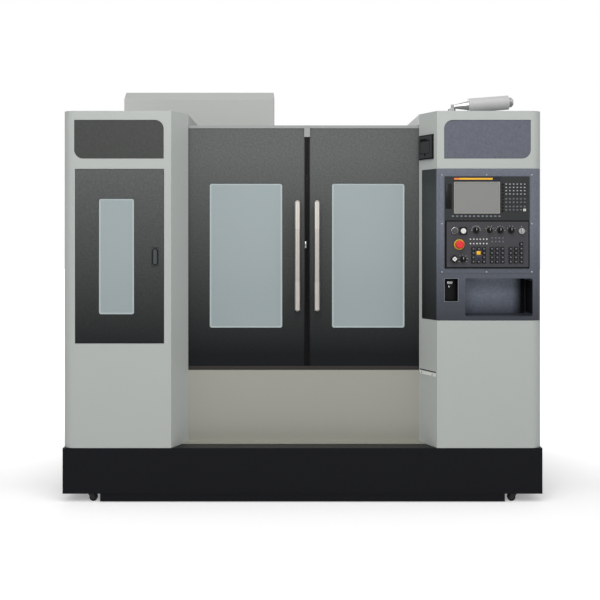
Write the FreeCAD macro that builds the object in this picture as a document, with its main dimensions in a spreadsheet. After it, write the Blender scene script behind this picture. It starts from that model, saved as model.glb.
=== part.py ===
"""Vertical machining centre: castings, axes, tool magazine, enclosure, doors, operator panel and tank.

Frame: origin on the floor under the middle of the machine, +X to the operator's right,
+Y to the back, +Z up, millimetres.
"""
import FreeCAD, Part
import math
import operator
import os
from types import SimpleNamespace

import Sketcher

SIZES = {
    # whole machine
    "machine_width": 2400,
    "machine_depth": 2300,
    "sheet": 3,
    "running_gap": 0.3,
    "edge_gap": 2,
    # towers at both sides of the doors
    "left_tower_width": 543,
    "right_tower_width": 527,
    "tower_depth": 400,
    "tower_top": 1958,
    "tower_bottom": 272,
    "tower_round": 55,
    "chamfer_run": 70,
    "chamfer_depth": 155,
    "return_flange": 20,
    "lip_height": 52,
    "header_plate_bottom": 1719,
    "header_plate_height": 194,
    "header_plate_round": 45,
    "header_plate_overlap": 3,
    "left_header_start": 58,
    "left_header_length": 448,
    "right_header_start": 58,
    "right_header_length": 434,
    # side walls, roof, back wall
    "back_wall_setback": 1275,
    "back_wall_bottom": 440,
    "back_window_bottom": 620,
    "back_window_left": 185,
    "back_window_right": 3,
    "right_side_end": 1895,
    "rear_return": 750,
    # sliding doors
    "doors_meet": 26,
    "door_gap": 32,
    "door_width": 620,
    "door_thickness": 32,
    "door_setback": 170,
    "door_bottom": 643.3,
    "door_top": 1899.7,
    "door_travel": 480,
    "window_from_meet": 127,
    "window_width": 378,
    "window_bottom": 856,
    "window_height": 748,
    "window_round": 12,
    "glass_thickness": 6,
    "glass_overlap": 10,
    "handle_from_meet": 50,
    "handle_width": 29,
    "handle_bottom": 945,
    "handle_length": 569,
    "handle_standoff": 46,
    "handle_post_inset": 70,
    "handle_post_width": 18,
    "header_lip": 15,
    "sill_lip": 20,
    "stop_block_height": 45,
    "stop_block_width": 30,
    "apron_shelf": 61,
    # tool access door in the left tower
    "access_start": 62,
    "access_width": 446,
    "access_bottom": 794,
    "access_height": 874,
    "access_thickness": 25,
    "access_recess": 1,
    "access_stop": 12,
    "access_window_start": 118,
    "access_window_width": 179,
    "access_window_lift": 145,
    "access_window_height": 581,
    "paddle_start": 385,
    "paddle_lift": 388,
    "paddle_width": 31,
    "paddle_height": 92,
    "paddle_thickness": 8,
    "paddle_cup_depth": 20,
    # electrical cabinet
    "cabinet_offset": 176,
    "cabinet_setback": 1865,
    "cabinet_top": 2320,
    "cabinet_slope_height": 58,
    "cabinet_slope_depth": 85,
    "cabinet_door_thickness": 25,
    "cabinet_plate_setback": 22,
    "plate_margin": 60,
    "drive_inset": 90,
    "drive_gap": 35,
    "drive_height": 360,
    "drive_drop": 560,
    "duct_size": 60,
    "duct_top_drop": 160,
    "duct_middle_drop": 660,
    "duct_low_lift": 560,
    "relay_lift": 700,
    "relay_height": 100,
    "relay_depth": 80,
    "relay_end": 160,
    "transformer_inset": 150,
    "transformer_lift": 140,
    "transformer_side": 280,
    "transformer_depth": 180,
    "beam_size": 60,
    "beam_inset": 24,
    "beam_pitch": 160,
    "swing_inset": 90,
    "swing_width": 50,
    "swing_height": 260,
    "swing_depth": 20,
    "swing_grip_width": 18,
    "swing_grip_height": 170,
    "switch_inset": 200,
    "switch_side": 90,
    "switch_lift": 260,
    "switch_disc": 60,
    # operator housing
    "housing_bottom": 909,
    "housing_top": 1669.5,
    "housing_depth": 300,
    "housing_share": 0.84,
    "plate_inset": 12,
    "plate_width": 473,
    "plate_bottom": 1146,
    "plate_height": 497.5,
    "plate_proud": 2,
    "unit_inset": 37,
    "unit_width": 424,
    "display_bottom": 1410,
    "display_height": 220,
    "display_proud": 8,
    "screen_inset": 46,
    "screen_width": 230,
    "screen_lift": 34,
    "screen_height": 159,
    "panel_bottom": 1170,
    "panel_height": 239,
    "panel_proud": 5,
    "unit_depth": 60,
    "unit_rebate": 6,
    "niche_inset": 141,
    "niche_width": 337,
    "niche_bottom": 930,
    "niche_height": 190,
    "niche_depth": 155,
    "niche_round": 10,
    "port_inset": 37,
    "port_width": 67,
    "port_bottom": 1005,
    "port_height": 114,
    "port_depth": 60,
    # keys
    "small_key": 11,
    "small_key_rise": 1.5,
    "small_key_pitch": 18.4,
    "small_key_row": 16.5,
    "soft_key_pitch": 21.1,
    "panel_key": 19,
    "panel_key_rise": 3,
    "panel_key_pitch": 26.7,
    "panel_key_row": 21.5,
    # buttons and switches
    "estop_height": 36,
    "estop_head": 40,
    "estop_collar": 46,
    "button_head": 26,
    "button_height": 12,
    "button_travel": 4,
    "stem_width": 11,
    "collar_rise": 4,
    "collar_rim": 5,
    "selector_width": 30,
    "selector_height": 20,
    "selector_grip": 9,
    "selector_skirt": 9,
    "key_blade": 3,
    # signal lamp and socket box
    "lamp_setback": 100,
    "lamp_pivot_from_corner": 89,
    "lamp_pivot_height": 32,
    "lamp_tilt": 4.4,
    "lamp_foot_width": 38,
    "lamp_barrel_width": 21,
    "lamp_neck_length": 84,
    "lamp_neck_end": 47,
    "lamp_tube_length": 204,
    "lamp_tube_width": 72,
    "lamp_cap_width": 50,
    "lamp_cap_length": 24,
    "lamp_rod": 20,
    "flap_width": 131,
    "flap_height": 124,
    "flap_bottom": 1721,
    "flap_proud": 14,
    "flap_cover_thickness": 5,
    "flap_depth": 30,
    # bed, column, axes
    "bed_width": 860,
    "bed_front": 285,
    "bed_length": 1570,
    "bed_bottom": 60,
    "bed_top": 430,
    "bed_nose": 125,
    "bed_nose_height": 150,
    "bed_wall": 45,
    "trough_width": 200,
    "trough_depth": 130,
    "trough_length": 1170,
    "flange_reach": 90,
    "flange_height": 50,
    "foot_width": 120,
    "foot_height": 20,
    "foot_bolt": 24,
    "foot_nut": 36,
    "rail_width": 34,
    "rail_height": 28,
    "carriage_width": 90,
    "carriage_length": 100,
    "carriage_height": 56,
    "carriage_lift": 4,
    "column_width": 600,
    "column_depth": 570,
    "column_lean": 120,
    "column_top": 1850,
    "spindle_throat": 530,
    "spindle_setback": 755,
    "y_rail_spacing": 660,
    "y_rail_length": 900,
    "x_rail_spacing": 280,
    "x_rail_length": 1440,
    "z_rail_spacing": 380,
    "z_rail_bottom": 1000,
    "z_rail_length": 840,
    "screw_width": 36,
    "screw_clearance": 0.4,
    "screw_lane": 60,
    "nut_width": 80,
    "nut_length": 100,
    "motor_width": 116,
    "saddle_depth": 400,
    "saddle_width": 1500,
    "saddle_bottom": 490,
    "saddle_height": 170,
    "saddle_wing": 85,
    "table_width": 1000,
    "table_depth": 500,
    "table_bottom": 720,
    "table_height": 130,
    "slot_pitch": 150,
    "slot_width": 18,
    "slot_throat": 17,
    "slot_tee_width": 30,
    "slot_tee_height": 13,
    "x_travel": 400,
    "bellows_reach": 1060,
    "bellows_width": 380,
    "bellows_frame": 20,
    "bellows_fold": 12,
    "bellows_cloth": 4,
    "bellows_top": 835,
    "bellows_end": 6,
    "bellows_lift": 5,
    "y_bellows_width": 800,
    "y_bellows_top": 560,
    # spindle head
    "head_bottom": 1310,
    "head_height": 370,
    "head_width": 300,
    "head_front": 130,
    "nose_drop": 20,
    "nose_width": 190,
    "spindle_width": 100,
    "spindle_clearance": 0.05,
    "spindle_flange": 128,
    "spindle_flange_height": 11.7,
    "taper_mouth": 44.45,
    "taper_depth": 65,
    "drawbar_bore": 17,
    "motor_height": 265,
    "spindle_motor_width": 210,
    # tool changer
    "changer_reach": 380,
    "arm_top": 1245,
    "arm_thickness": 30,
    "arm_width": 80,
    "arm_end": 45,
    "arm_shaft": 60,
    "grip_width": 64,
    "cam_box_bottom": 1400,
    "cam_box_height": 300,
    "cam_box_width": 160,
    "magazine_height": 1620,
    "pot_circle": 265,
    "pot_width": 66,
    "pot_length": 80,
    "tool_width": 20,
    "tool_length": 84,
    "disc_thickness": 14,
    "disc_radius": 296,
    "disc_face": 700,
    "hub_width": 120,
    "disc_pin": 50,
    # coolant tank
    "tank_depth": 400,
    "tank_bottom": 43,
    "tank_top": 271.4,
    "tank_wall": 4,
    "tank_lid": 94,
    "sump_inset": 187,
    "sump_depth": 340,
    "sump_bottom": 4,
    "caster_inset": 137,
    "caster_setback": 36,
    "caster_wheel": 40,
    "caster_tread": 18,
    "caster_trail": 12,
    "axle_width": 10,
    "fork_plate": 3,
    "fork_foot": 18,
    "fork_crown": 32,
    "rear_axle_setback": 372,
    "axle_reach": 45,
    "pan_wall_height": 640,
    "gutter_depth": 400,
    "gutter_top": 440,
    "gutter_reach": 560,
}

POT_COUNT = 12
SLOT_COUNT = 3
X_PLEATS = 16
Y_PLEATS = 12

DOC = FreeCAD.newDocument("machining_centre")
SHEET = DOC.addObject("Spreadsheet::Sheet", "Sizes")
NODES = []


class Size:
    """A length that knows its value and the sheet expression that it comes from."""

    def __init__(self, value, text):
        self.value = float(value)
        self.text = text

    def __add__(self, other):
        return combined(self, other, "+", operator.add)

    def __radd__(self, other):
        return combined(other, self, "+", operator.add)

    def __sub__(self, other):
        return combined(self, other, "-", operator.sub)

    def __rsub__(self, other):
        return combined(other, self, "-", operator.sub)

    def __mul__(self, other):
        return combined(self, other, "*", operator.mul)

    def __rmul__(self, other):
        return combined(other, self, "*", operator.mul)

    def __truediv__(self, other):
        return combined(self, other, "/", operator.truediv)

    def __rtruediv__(self, other):
        return combined(other, self, "/", operator.truediv)

    def __neg__(self):
        return combined(0, self, "-", operator.sub)


def sized(length):
    """The length as a Size, also where it is a plain number."""
    if isinstance(length, Size):
        return length
    return Size(length, f"{length:.9g}" if length >= 0 else f"(0 - {-length:.9g})")


def combined(first, second, sign, action):
    """The Size that the sign makes of two lengths."""
    first, second = sized(first), sized(second)
    return Size(action(first.value, second.value), f"({first.text} {sign} {second.text})")


def square_root(length):
    """The square root of a Size."""
    return Size(math.sqrt(length.value), f"sqrt({length.text})")


def arc_tangent(length):
    """The angle in degrees whose tangent is the given ratio."""
    return Size(math.degrees(math.atan(length.value)), f"atan({length.text})")


def fill_sheet():
    """Write each driving size in its own cell, and return them as Sizes by name."""
    for row, (name, value) in enumerate(SIZES.items(), 1):
        SHEET.set(f"A{row}", name)
        SHEET.set(f"B{row}", str(value))
        SHEET.setAlias(f"B{row}", name)
    DOC.recompute()
    return SimpleNamespace(**{name: Size(value, f"Sizes.{name}") for name, value in SIZES.items()})


size = fill_sheet()

LEFT = -size.machine_width / 2
RIGHT = size.machine_width / 2
FRONT = (size.panel_proud + size.estop_height - size.machine_depth) / 2
REAR = FRONT + size.machine_depth
LEFT_CORNER = LEFT + size.left_tower_width
RIGHT_CORNER = RIGHT - size.right_tower_width
LEFT_JAMB = LEFT_CORNER + size.chamfer_run
RIGHT_JAMB = RIGHT_CORNER - size.chamfer_run
JAMB = FRONT + size.chamfer_depth
DOOR_FACE = FRONT + size.door_setback
DOOR_BACK = DOOR_FACE + size.door_thickness
LIP_BOTTOM = size.tower_top - size.lip_height
SPINDLE_Y = FRONT + size.spindle_setback
COLUMN_FACE = SPINDLE_Y + size.spindle_throat
BACK_WALL = FRONT + size.back_wall_setback
BED_FRONT = FRONT + size.bed_front
BED_REAR = BED_FRONT + size.bed_length
CABINET_FRONT = FRONT + size.cabinet_setback
CABINET_BACK = REAR - size.cabinet_door_thickness
CABINET_RIGHT = -size.cabinet_offset
PLATE_FACE = FRONT - size.plate_proud
PANEL_FACE = FRONT - size.panel_proud
DISPLAY_FACE = FRONT - size.display_proud
UNIT_LEFT = RIGHT_CORNER + size.unit_inset
SADDLE_TOP = size.saddle_bottom + size.saddle_height
TABLE_TOP = size.table_bottom + size.table_height
SADDLE_FRONT = SPINDLE_Y - size.saddle_depth / 2
HEAD_TOP = size.head_bottom + size.head_height
NOSE = size.head_bottom - size.nose_drop
Y_SCREW_HEIGHT = size.bed_top - size.trough_depth / 2
X_SCREW_HEIGHT = SADDLE_TOP - size.screw_width / 2 - 2
Z_SCREW = COLUMN_FACE - size.carriage_height / 2 - size.carriage_lift / 2
ARM_PIVOT = -size.changer_reach
PAN_FRONT = DOOR_BACK + size.running_gap + size.sheet + 4
SUMP_HALF = size.machine_width / 2 - size.sump_inset


def bind(item, link, length):
    """Tie a property of an object to the sheet."""
    item.setExpression(link, sized(length).text)


def place(item, spot):
    """Tie an object's base point to three lengths."""
    for axis, length in zip("xyz", spot):
        bind(item, f"Placement.Base.{axis}", length)


def box(name, low, high):
    """A block between two opposite corners."""
    item = DOC.addObject("Part::Box", name)
    for side, link in enumerate(("Length", "Width", "Height")):
        bind(item, link, high[side] - sized(low[side]))
    place(item, low)
    return item


AXIS_TURNS = {
    "x": (FreeCAD.Vector(0, 1, 0), 90),
    "y": (FreeCAD.Vector(1, 0, 0), -90),
    "z": (FreeCAD.Vector(0, 0, 1), 0),
    "front": (FreeCAD.Vector(1, 0, 0), 90),
    "left": (FreeCAD.Vector(0, 1, 0), -90),
}


def rod(name, axis, width, spot, length):
    """A round bar of the given width that starts at a spot and runs along an axis."""
    item = DOC.addObject("Part::Cylinder", name)
    bind(item, "Radius", width / 2)
    bind(item, "Height", length)
    item.Placement.Rotation = FreeCAD.Rotation(*AXIS_TURNS[axis])
    place(item, spot)
    return item


def heading(start, finish):
    """The unit step along X or Y from one sketch corner to the next."""
    across = finish[0].value - start[0].value
    up = finish[1].value - start[1].value
    if abs(across) > abs(up):
        return (math.copysign(1, across), 0)
    return (0, math.copysign(1, up))


def corner_points(corners, index):
    """Where a rounded square corner starts and ends, and the centre of its arc."""
    before, corner, after = corners[index - 1], corners[index], corners[(index + 1) % len(corners)]
    radius = corner[2]
    way_in, way_out = heading(before, corner), heading(corner, after)
    start = [corner[side] - radius * way_in[side] for side in (0, 1)]
    end = [corner[side] + radius * way_out[side] for side in (0, 1)]
    centre = [start[side] + radius * way_out[side] for side in (0, 1)]
    left_turn = way_in[0] * way_out[1] - way_in[1] * way_out[0] > 0
    return start, end, centre, way_out, left_turn


def vector(point):
    """A sketch point as a vector."""
    return FreeCAD.Vector(point[0].value, point[1].value, 0)


def hold(sketch, element, end, link, length):
    """Fix one coordinate of a sketch point with a constraint tied to the sheet."""
    number = sketch.addConstraint(Sketcher.Constraint(link, element, end, length.value))
    bind(sketch, f"Constraints[{number}]", length)


def draw(sketch, corners):
    """Draw a closed outline whose corners are (u, v), or (u, v, radius) where it is rounded."""
    corners = [[sized(number) for number in corner] for corner in corners]
    count = len(corners)
    runs = []
    for index, corner in enumerate(corners):
        rounded = len(corner) == 3
        runs.append(corner_points(corners, index) if rounded else (corner, corner, None, None, True))
    lines = []
    for index in range(count):
        start, finish = runs[index][1], runs[(index + 1) % count][0]
        lines.append(sketch.addGeometry(Part.LineSegment(vector(start), vector(finish)), False))
    for index, (start, end, centre, way_out, left_turn) in enumerate(runs):
        line_in, line_out = lines[index - 1], lines[index]
        hold(sketch, line_in, 2, "DistanceX", start[0])
        hold(sketch, line_in, 2, "DistanceY", start[1])
        if centre is None:
            sketch.addConstraint(Sketcher.Constraint("Coincident", line_in, 2, line_out, 1))
            continue
        add_round(sketch, (start, end, centre, way_out, left_turn), line_in, line_out)


def add_round(sketch, run, line_in, line_out):
    """Join two lines with a quarter circle."""
    start, end, centre, way_out, left_turn = run
    middle = vector(centre)
    first, last = (start, end) if left_turn else (end, start)
    angles = [math.atan2(*(vector(point) - middle)[1::-1]) for point in (first, last)]
    reach = (vector(start) - middle).Length
    circle = Part.Circle(middle, FreeCAD.Vector(0, 0, 1), reach)
    arc = sketch.addGeometry(Part.ArcOfCircle(circle, *angles), False)
    hold(sketch, arc, 3, "DistanceX", centre[0])
    hold(sketch, arc, 3, "DistanceY", centre[1])
    arc_start, arc_end = (1, 2) if left_turn else (2, 1)
    sketch.addConstraint(Sketcher.Constraint("Coincident", line_in, 2, arc, arc_start))
    sketch.addConstraint(Sketcher.Constraint("Coincident", arc, arc_end, line_out, 1))
    link, side = ("DistanceX", 0) if way_out[0] else ("DistanceY", 1)
    hold(sketch, line_out, 1, link, end[side])


def new_sketch(body, name, plane, corners, height):
    """A sketch on one of the body's own planes, lifted off it by a height."""
    sketch = body.newObject("Sketcher::SketchObject", name)
    faces = [face for face in body.Origin.OriginFeatures if face.Role == f"{plane}_Plane"]
    sketch.AttachmentSupport = [(faces[0], "")]
    sketch.MapMode = "FlatFace"
    bind(sketch, "AttachmentOffset.Base.z", -height if plane == "XZ" else height)
    draw(sketch, corners)
    return sketch


def prism(name, plane, corners, low, high):
    """A straight block whose outline lies in the given plane, from low to high across it."""
    low, high = sized(low), sized(high)
    body = DOC.addObject("PartDesign::Body", name)
    sketch = new_sketch(body, f"{name}_outline", plane, corners, low)
    pad = body.newObject("PartDesign::Pad", f"{name}_pad")
    pad.Profile = sketch
    bind(pad, "Length", high - low)
    pad.Reversed = plane == "XZ"
    body.Tip = pad
    return body


def turned(name, profile, axis, spot):
    """A lathe part: a profile of (radius, height) corners spun about an axis through a spot."""
    body = DOC.addObject("PartDesign::Body", name)
    sketch = new_sketch(body, f"{name}_profile", "XZ", profile, sized(0))
    spin = body.newObject("PartDesign::Revolution", f"{name}_spin")
    spin.Profile = sketch
    spin.ReferenceAxis = (sketch, ["V_Axis"])
    spin.Angle = 360
    body.Tip = spin
    body.Placement.Rotation = FreeCAD.Rotation(*AXIS_TURNS[axis])
    place(body, spot)
    return body


def rectangle(left, right, bottom, top, radius=None):
    """The four corners of a rectangle, all rounded alike or all square."""
    ends = [(left, bottom), (right, bottom), (right, top), (left, top)]
    return ends if radius is None else [(*end, radius) for end in ends]


def cut(name, base, *tools):
    """The base with each tool taken out of it."""
    for number, tool in enumerate(tools, 1):
        last = number == len(tools)
        item = DOC.addObject("Part::Cut", name if last else f"{name}_cut_{number}")
        item.Base = base
        item.Tool = tool
        base = item
    return base


def fuse(name, *pieces):
    """One solid from several that meet."""
    item = DOC.addObject("Part::MultiFuse", name)
    item.Shapes = list(pieces)
    item.Refine = True
    return item


def collect(name, *pieces):
    """Separate solids kept together as one node."""
    item = DOC.addObject("Part::Compound", name)
    item.Links = list(pieces)
    return item


def ordered(one, two):
    """Two lengths, the lower first."""
    return sorted((one, two), key=lambda length: length.value)


def mirrored(side, near, far):
    """A span between two distances from the middle, on the side given by the sign."""
    return ordered(side * near, side * far)


def node(item, name):
    """Name a finished sub-part and keep it for the export."""
    item.Label = name
    NODES.append(item)
    return item


# ---------------------------------------------------------------- towers and enclosure


def tower_plan(side, corner, share, depth):
    """The plan of a tower: side wall, rounded edge, front, and a share of the chamfer."""
    edge = LEFT if side < 0 else RIGHT
    return [
        (edge, FRONT + depth),
        (edge, FRONT, size.tower_round),
        (corner, FRONT),
        (corner - side * share * size.chamfer_run, FRONT + share * size.chamfer_depth),
    ]


def tower_wall(name, side, corner, share, depth, low, high):
    """The folded sheet along that plan, one sheet thick."""
    edge = LEFT if side < 0 else RIGHT
    slope = size.chamfer_run / size.chamfer_depth
    step = size.sheet * square_root(slope * slope + 1)
    outer = tower_plan(side, corner, share, depth)
    inner = [
        (outer[3][0] + side * step, outer[3][1]),
        (corner + side * (step - slope * size.sheet), FRONT + size.sheet),
        (edge - side * size.sheet, FRONT + size.sheet, size.tower_round - size.sheet),
        (edge - side * size.sheet, FRONT + depth),
    ]
    return prism(name, "XY", outer + inner, low, high)


def tower_lid(name, side, corner, share, depth, low):
    """A flat sheet that closes the plan at one height, as far back as the depth."""
    outer = tower_plan(side, corner, share, depth)
    if depth.value > (share * size.chamfer_depth).value:
        outer.append((outer[3][0], FRONT + depth))
    return prism(name, "XY", outer, low, low + size.sheet)


def tower_flange(name, side, corner):
    """The return flange at the foot of a tower."""
    edge = LEFT if side < 0 else RIGHT
    outer = tower_plan(side, corner, 1, size.tower_depth)
    width = size.return_flange
    inner = [
        (outer[3][0] + side * width, outer[3][1]),
        (corner + side * width, FRONT + width),
        (edge - side * width, FRONT + width),
        (edge - side * width, FRONT + size.tower_depth),
    ]
    return prism(name, "XY", outer + inner, size.tower_bottom, size.tower_bottom + size.sheet)


def tower_blank(name, side, corner):
    """A tower before its openings are cut: wall, roof, foot flange and the lip beside the doors."""
    jamb = corner - side * size.chamfer_run
    wall = tower_wall(f"{name}_wall", side, corner, 1, size.tower_depth, size.tower_bottom, size.tower_top)
    lid = tower_lid(f"{name}_lid", side, corner, 1, size.tower_depth, size.tower_top - size.sheet)
    flange = tower_flange(f"{name}_flange", side, corner)
    ends = ordered(jamb, jamb + side * size.sheet)
    low = (ends[0], JAMB, LIP_BOTTOM)
    high = (ends[1], FRONT + size.tower_depth, size.tower_top)
    lip = box(f"{name}_lip", low, high)
    return fuse(f"{name}_blank", wall, lid, flange, lip)


def header_outline(side, extra):
    """The header plate's outline: two opposite corners rounded, the other two square."""
    start = LEFT + size.left_header_start if side < 0 else RIGHT - size.right_header_start
    length = size.left_header_length if side < 0 else size.right_header_length
    near, far = start + side * extra, start - side * (length + extra)
    left, right = (near, far) if side < 0 else (far, near)
    bottom = size.header_plate_bottom - extra
    top = bottom + size.header_plate_height + 2 * extra
    radius = size.header_plate_round + extra
    if side < 0:
        return [(left, bottom, radius), (right, bottom), (right, top, radius), (left, top)]
    return [(left, bottom), (right, bottom, radius), (right, top), (left, top, radius)]


def front_hole(name, outline):
    """A cutter that goes through a front sheet."""
    return prism(name, "XZ", outline, FRONT - 10, FRONT + size.sheet + 10)


def access_corners(gap):
    """The tool access opening's outline, narrowed by a gap all round."""
    left = LEFT + size.access_start + gap
    right = LEFT + size.access_start + size.access_width - gap
    bottom = size.access_bottom + gap
    return rectangle(left, right, bottom, size.access_bottom + size.access_height - gap)


def left_tower():
    """Left tower with the header opening, and the tool access opening with its folded rebate."""
    blank = tower_blank("left_tower", -1, LEFT_CORNER)
    stop = FRONT + size.access_recess + size.access_thickness + size.running_gap
    fold = prism("access_fold", "XZ", access_corners(-size.sheet), FRONT, stop + size.sheet)
    header = front_hole("left_header_hole", header_outline(-1, 0))
    access = prism("access_hole", "XZ", access_corners(sized(0)), FRONT - 10, stop)
    room = prism("access_room", "XZ", access_corners(size.access_stop), FRONT, stop + size.sheet + 10)
    solid = fuse("left_tower_folded", blank, fold)
    node(cut("left_tower", solid, header, access, room), "left_tower")


def chamfer_box(name, low, high, along, height):
    """A block given in the chamfer's own frame: X along the slope, Y into the sheet, Z up."""
    item = DOC.addObject("Part::Box", name)
    for side, link in enumerate(("Length", "Width", "Height")):
        bind(item, link, high[side] - sized(low[side]))
    slant = square_root(size.chamfer_run * size.chamfer_run + size.chamfer_depth * size.chamfer_depth)
    right, back = size.chamfer_run / slant, size.chamfer_depth / slant
    item.Placement.Rotation = FreeCAD.Rotation(FreeCAD.Vector(0, 0, -1), 60)
    bind(item, "Placement.Rotation.Angle", arc_tangent(size.chamfer_depth / size.chamfer_run))
    spot = (
        RIGHT_CORNER - size.chamfer_run * (1 - along) + right * low[0] + back * low[1],
        JAMB - size.chamfer_depth * along - back * low[0] + right * low[1],
        height + low[2],
    )
    place(item, spot)
    return item


FLAP_ALONG = 0.436
FLAP_MIDDLE = size.flap_bottom + size.flap_height / 2


def flap_block(name, inset, front, back, bottom=0, top=0):
    """A block of the socket box: inset from its outline, between two depths."""
    half_width = size.flap_width / 2 - inset
    half_height = size.flap_height / 2 - inset
    low = (-half_width, front, -half_height + bottom)
    high = (half_width, back, half_height - top)
    return chamfer_box(name, low, high, FLAP_ALONG, FLAP_MIDDLE)


def right_tower():
    """Right tower: header box and lower panel, cut back round the operator housing."""
    blank = tower_blank("right_tower", 1, RIGHT_CORNER)
    header = front_hole("right_header_hole", header_outline(1, 0))
    edge = RIGHT_JAMB + (1 - size.housing_share) * size.chamfer_run
    low = (edge, FRONT - 10, size.housing_bottom)
    high = (RIGHT + 10, FRONT + size.housing_depth, size.housing_top)
    bay = box("housing_bay", low, high)
    socket = flap_block("flap_hole", 10, sized(-5), size.flap_depth)
    node(cut("right_tower", blank, header, bay, socket), "right_tower")


def header_plates():
    """The two dark plates behind the header openings."""
    plates = []
    for name, side in (("left_plate", -1), ("right_plate", 1)):
        outline = header_outline(side, size.header_plate_overlap)
        face = FRONT + size.sheet
        plates.append(prism(f"{name}_body", "XZ", outline, face, face + 2))
    node(collect("header_plates", *plates), "header_plates")


def side_panel(name, side, jamb, end):
    """Outer side sheet, roof and the lip that carries on from the tower."""
    edge, inner = (LEFT, LEFT + size.sheet) if side < 0 else (RIGHT, RIGHT - size.sheet)
    start = FRONT + size.tower_depth
    top = size.tower_top
    spans = [
        (edge, inner, start, end, size.tower_bottom, top),
        (edge, jamb, start, BACK_WALL + size.sheet, top - size.sheet, top),
        (jamb, jamb + side * size.sheet, start, BACK_WALL, LIP_BOTTOM, top),
        (edge, edge - side * size.return_flange, start, end, size.tower_bottom,
         size.tower_bottom + size.sheet),
    ]
    pieces = []
    for number, (one, two, front, back, bottom, height) in enumerate(spans):
        ends = ordered(one, two)
        pieces.append(box(f"{name}_{number}", (ends[0], front, bottom), (ends[1], back, height)))
    return pieces


def side_panels():
    """Left panel up to the electrical cabinet, right panel with its return across the back."""
    left = side_panel("left_side", -1, LEFT_JAMB, CABINET_FRONT)
    node(fuse("left_side_panel", *left), "left_side_panel")
    end = FRONT + size.right_side_end
    right = side_panel("right_side", 1, RIGHT_JAMB, end)
    low = (RIGHT - size.rear_return, end - size.sheet, size.tower_bottom)
    right.append(box("rear_return_sheet", low, (RIGHT, end, size.tower_top)))
    node(fuse("right_side_panel", *right), "right_side_panel")


def back_wall():
    """Rear wall of the work area, open round the column and the spindle head."""
    low, high = LEFT + size.sheet, RIGHT - size.sheet
    left = -size.column_width / 2 - size.back_window_left
    right = size.column_width / 2 + size.back_window_right
    top = size.tower_top - size.sheet
    corners = [
        (low, size.back_wall_bottom), (high, size.back_wall_bottom), (high, top), (right, top),
        (right, size.back_window_bottom), (left, size.back_window_bottom), (left, top), (low, top),
    ]
    node(prism("back_wall", "XZ", corners, BACK_WALL, BACK_WALL + size.sheet), "back_wall")


def door_header():
    """Inverted channel that holds the tops of the doors, with the stop between them."""
    top = size.door_top + size.running_gap
    front = DOOR_FACE - size.running_gap
    back = DOOR_BACK + size.running_gap
    wall = size.sheet
    profile = [
        (front - wall, top - size.header_lip + wall), (front, top - size.header_lip + wall), (front, top),
        (back, top), (back, top - size.header_lip + wall), (back + wall, top - size.header_lip + wall),
        (back + wall, top + wall), (front - wall, top + wall),
    ]
    channel = prism("header_channel", "YZ", profile, LEFT + wall, RIGHT - wall)
    half = size.stop_block_width / 2
    bottom = top + wall - size.header_lip - size.stop_block_height
    low = (size.doors_meet - half, front - 2 * wall, bottom)
    block = box("door_stop", low, (size.doors_meet + half, front - wall, top + wall))
    node(fuse("door_header", channel, block), "door_header")


def door_sill():
    """Channel that guides the bottom edges of the doors."""
    floor = size.door_bottom - size.running_gap
    front = DOOR_FACE - size.running_gap
    back = DOOR_BACK + size.running_gap
    wall = size.sheet
    foot, top = floor - wall, floor + size.sill_lip - wall
    profile = [
        (front - wall, foot), (back + wall, foot), (back + wall, top), (back, top),
        (back, floor), (front, floor), (front, top), (front - wall, top),
    ]
    node(prism("door_sill", "YZ", profile, LEFT + wall, RIGHT - wall), "door_sill")


def apron_panel():
    """Bare stainless panel under the doors, with a shelf at its foot and a flange under the sill."""
    wall = size.sheet
    top = size.door_bottom - size.running_gap - wall
    bottom = size.tower_bottom
    profile = [
        (JAMB - size.apron_shelf, bottom), (JAMB + wall, bottom), (JAMB + wall, top - wall),
        (DOOR_BACK, top - wall), (DOOR_BACK, top), (JAMB, top), (JAMB, bottom + wall),
        (JAMB - size.apron_shelf, bottom + wall),
    ]
    sheet = prism("apron_sheet", "YZ", profile, LEFT_JAMB, RIGHT_JAMB)
    wedges = []
    for name, side, corner in (("left", -1, LEFT_CORNER), ("right", 1, RIGHT_CORNER)):
        jamb = corner - side * size.chamfer_run
        slope = size.chamfer_run / size.chamfer_depth
        reach = jamb + side * slope * size.apron_shelf
        points = [(jamb, JAMB), (jamb, JAMB - size.apron_shelf), (reach, JAMB - size.apron_shelf)]
        wedges.append(prism(f"{name}_shelf_end", "XY", points, bottom, bottom + wall))
    node(fuse("apron_panel", sheet, *wedges), "apron_panel")


def splash_pan():
    """Stainless trough each side of the bed: a slope from the side wall down to a gutter."""
    wall = size.sheet
    bed_side = size.bed_width / 2
    pieces = []
    for name, side in (("left", -1), ("right", 1)):
        outer = side * (size.machine_width / 2 - wall)
        reach = side * size.gutter_reach
        inner = side * bed_side
        profile = [
            (outer, size.pan_wall_height), (reach, size.gutter_top), (reach, size.gutter_depth),
            (inner, size.gutter_depth), (inner, size.bed_top), (inner + side * wall, size.bed_top),
            (inner + side * wall, size.gutter_depth + wall), (reach - side * wall, size.gutter_depth + wall),
            (reach - side * wall, size.gutter_top + wall), (outer, size.pan_wall_height + 2 * wall),
        ]
        trough = prism(f"{name}_trough", "XZ", profile, PAN_FRONT, BACK_WALL)
        ends = ordered(reach - side * 30, inner + side * 30)
        drop = box(f"{name}_drop", (ends[0], PAN_FRONT + 30, size.gutter_depth - 1),
                   (ends[1], PAN_FRONT + size.bed_nose, size.gutter_depth + wall + 1))
        pieces.append(cut(f"{name}_gutter", trough, drop))
    low = (-size.gutter_reach, PAN_FRONT, size.gutter_depth)
    high = (size.gutter_reach, PAN_FRONT + wall, size.door_bottom - wall)
    pieces.append(box("pan_front", low, high))
    node(fuse("splash_pan", *pieces), "splash_pan")


# ---------------------------------------------------------------- doors


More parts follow.
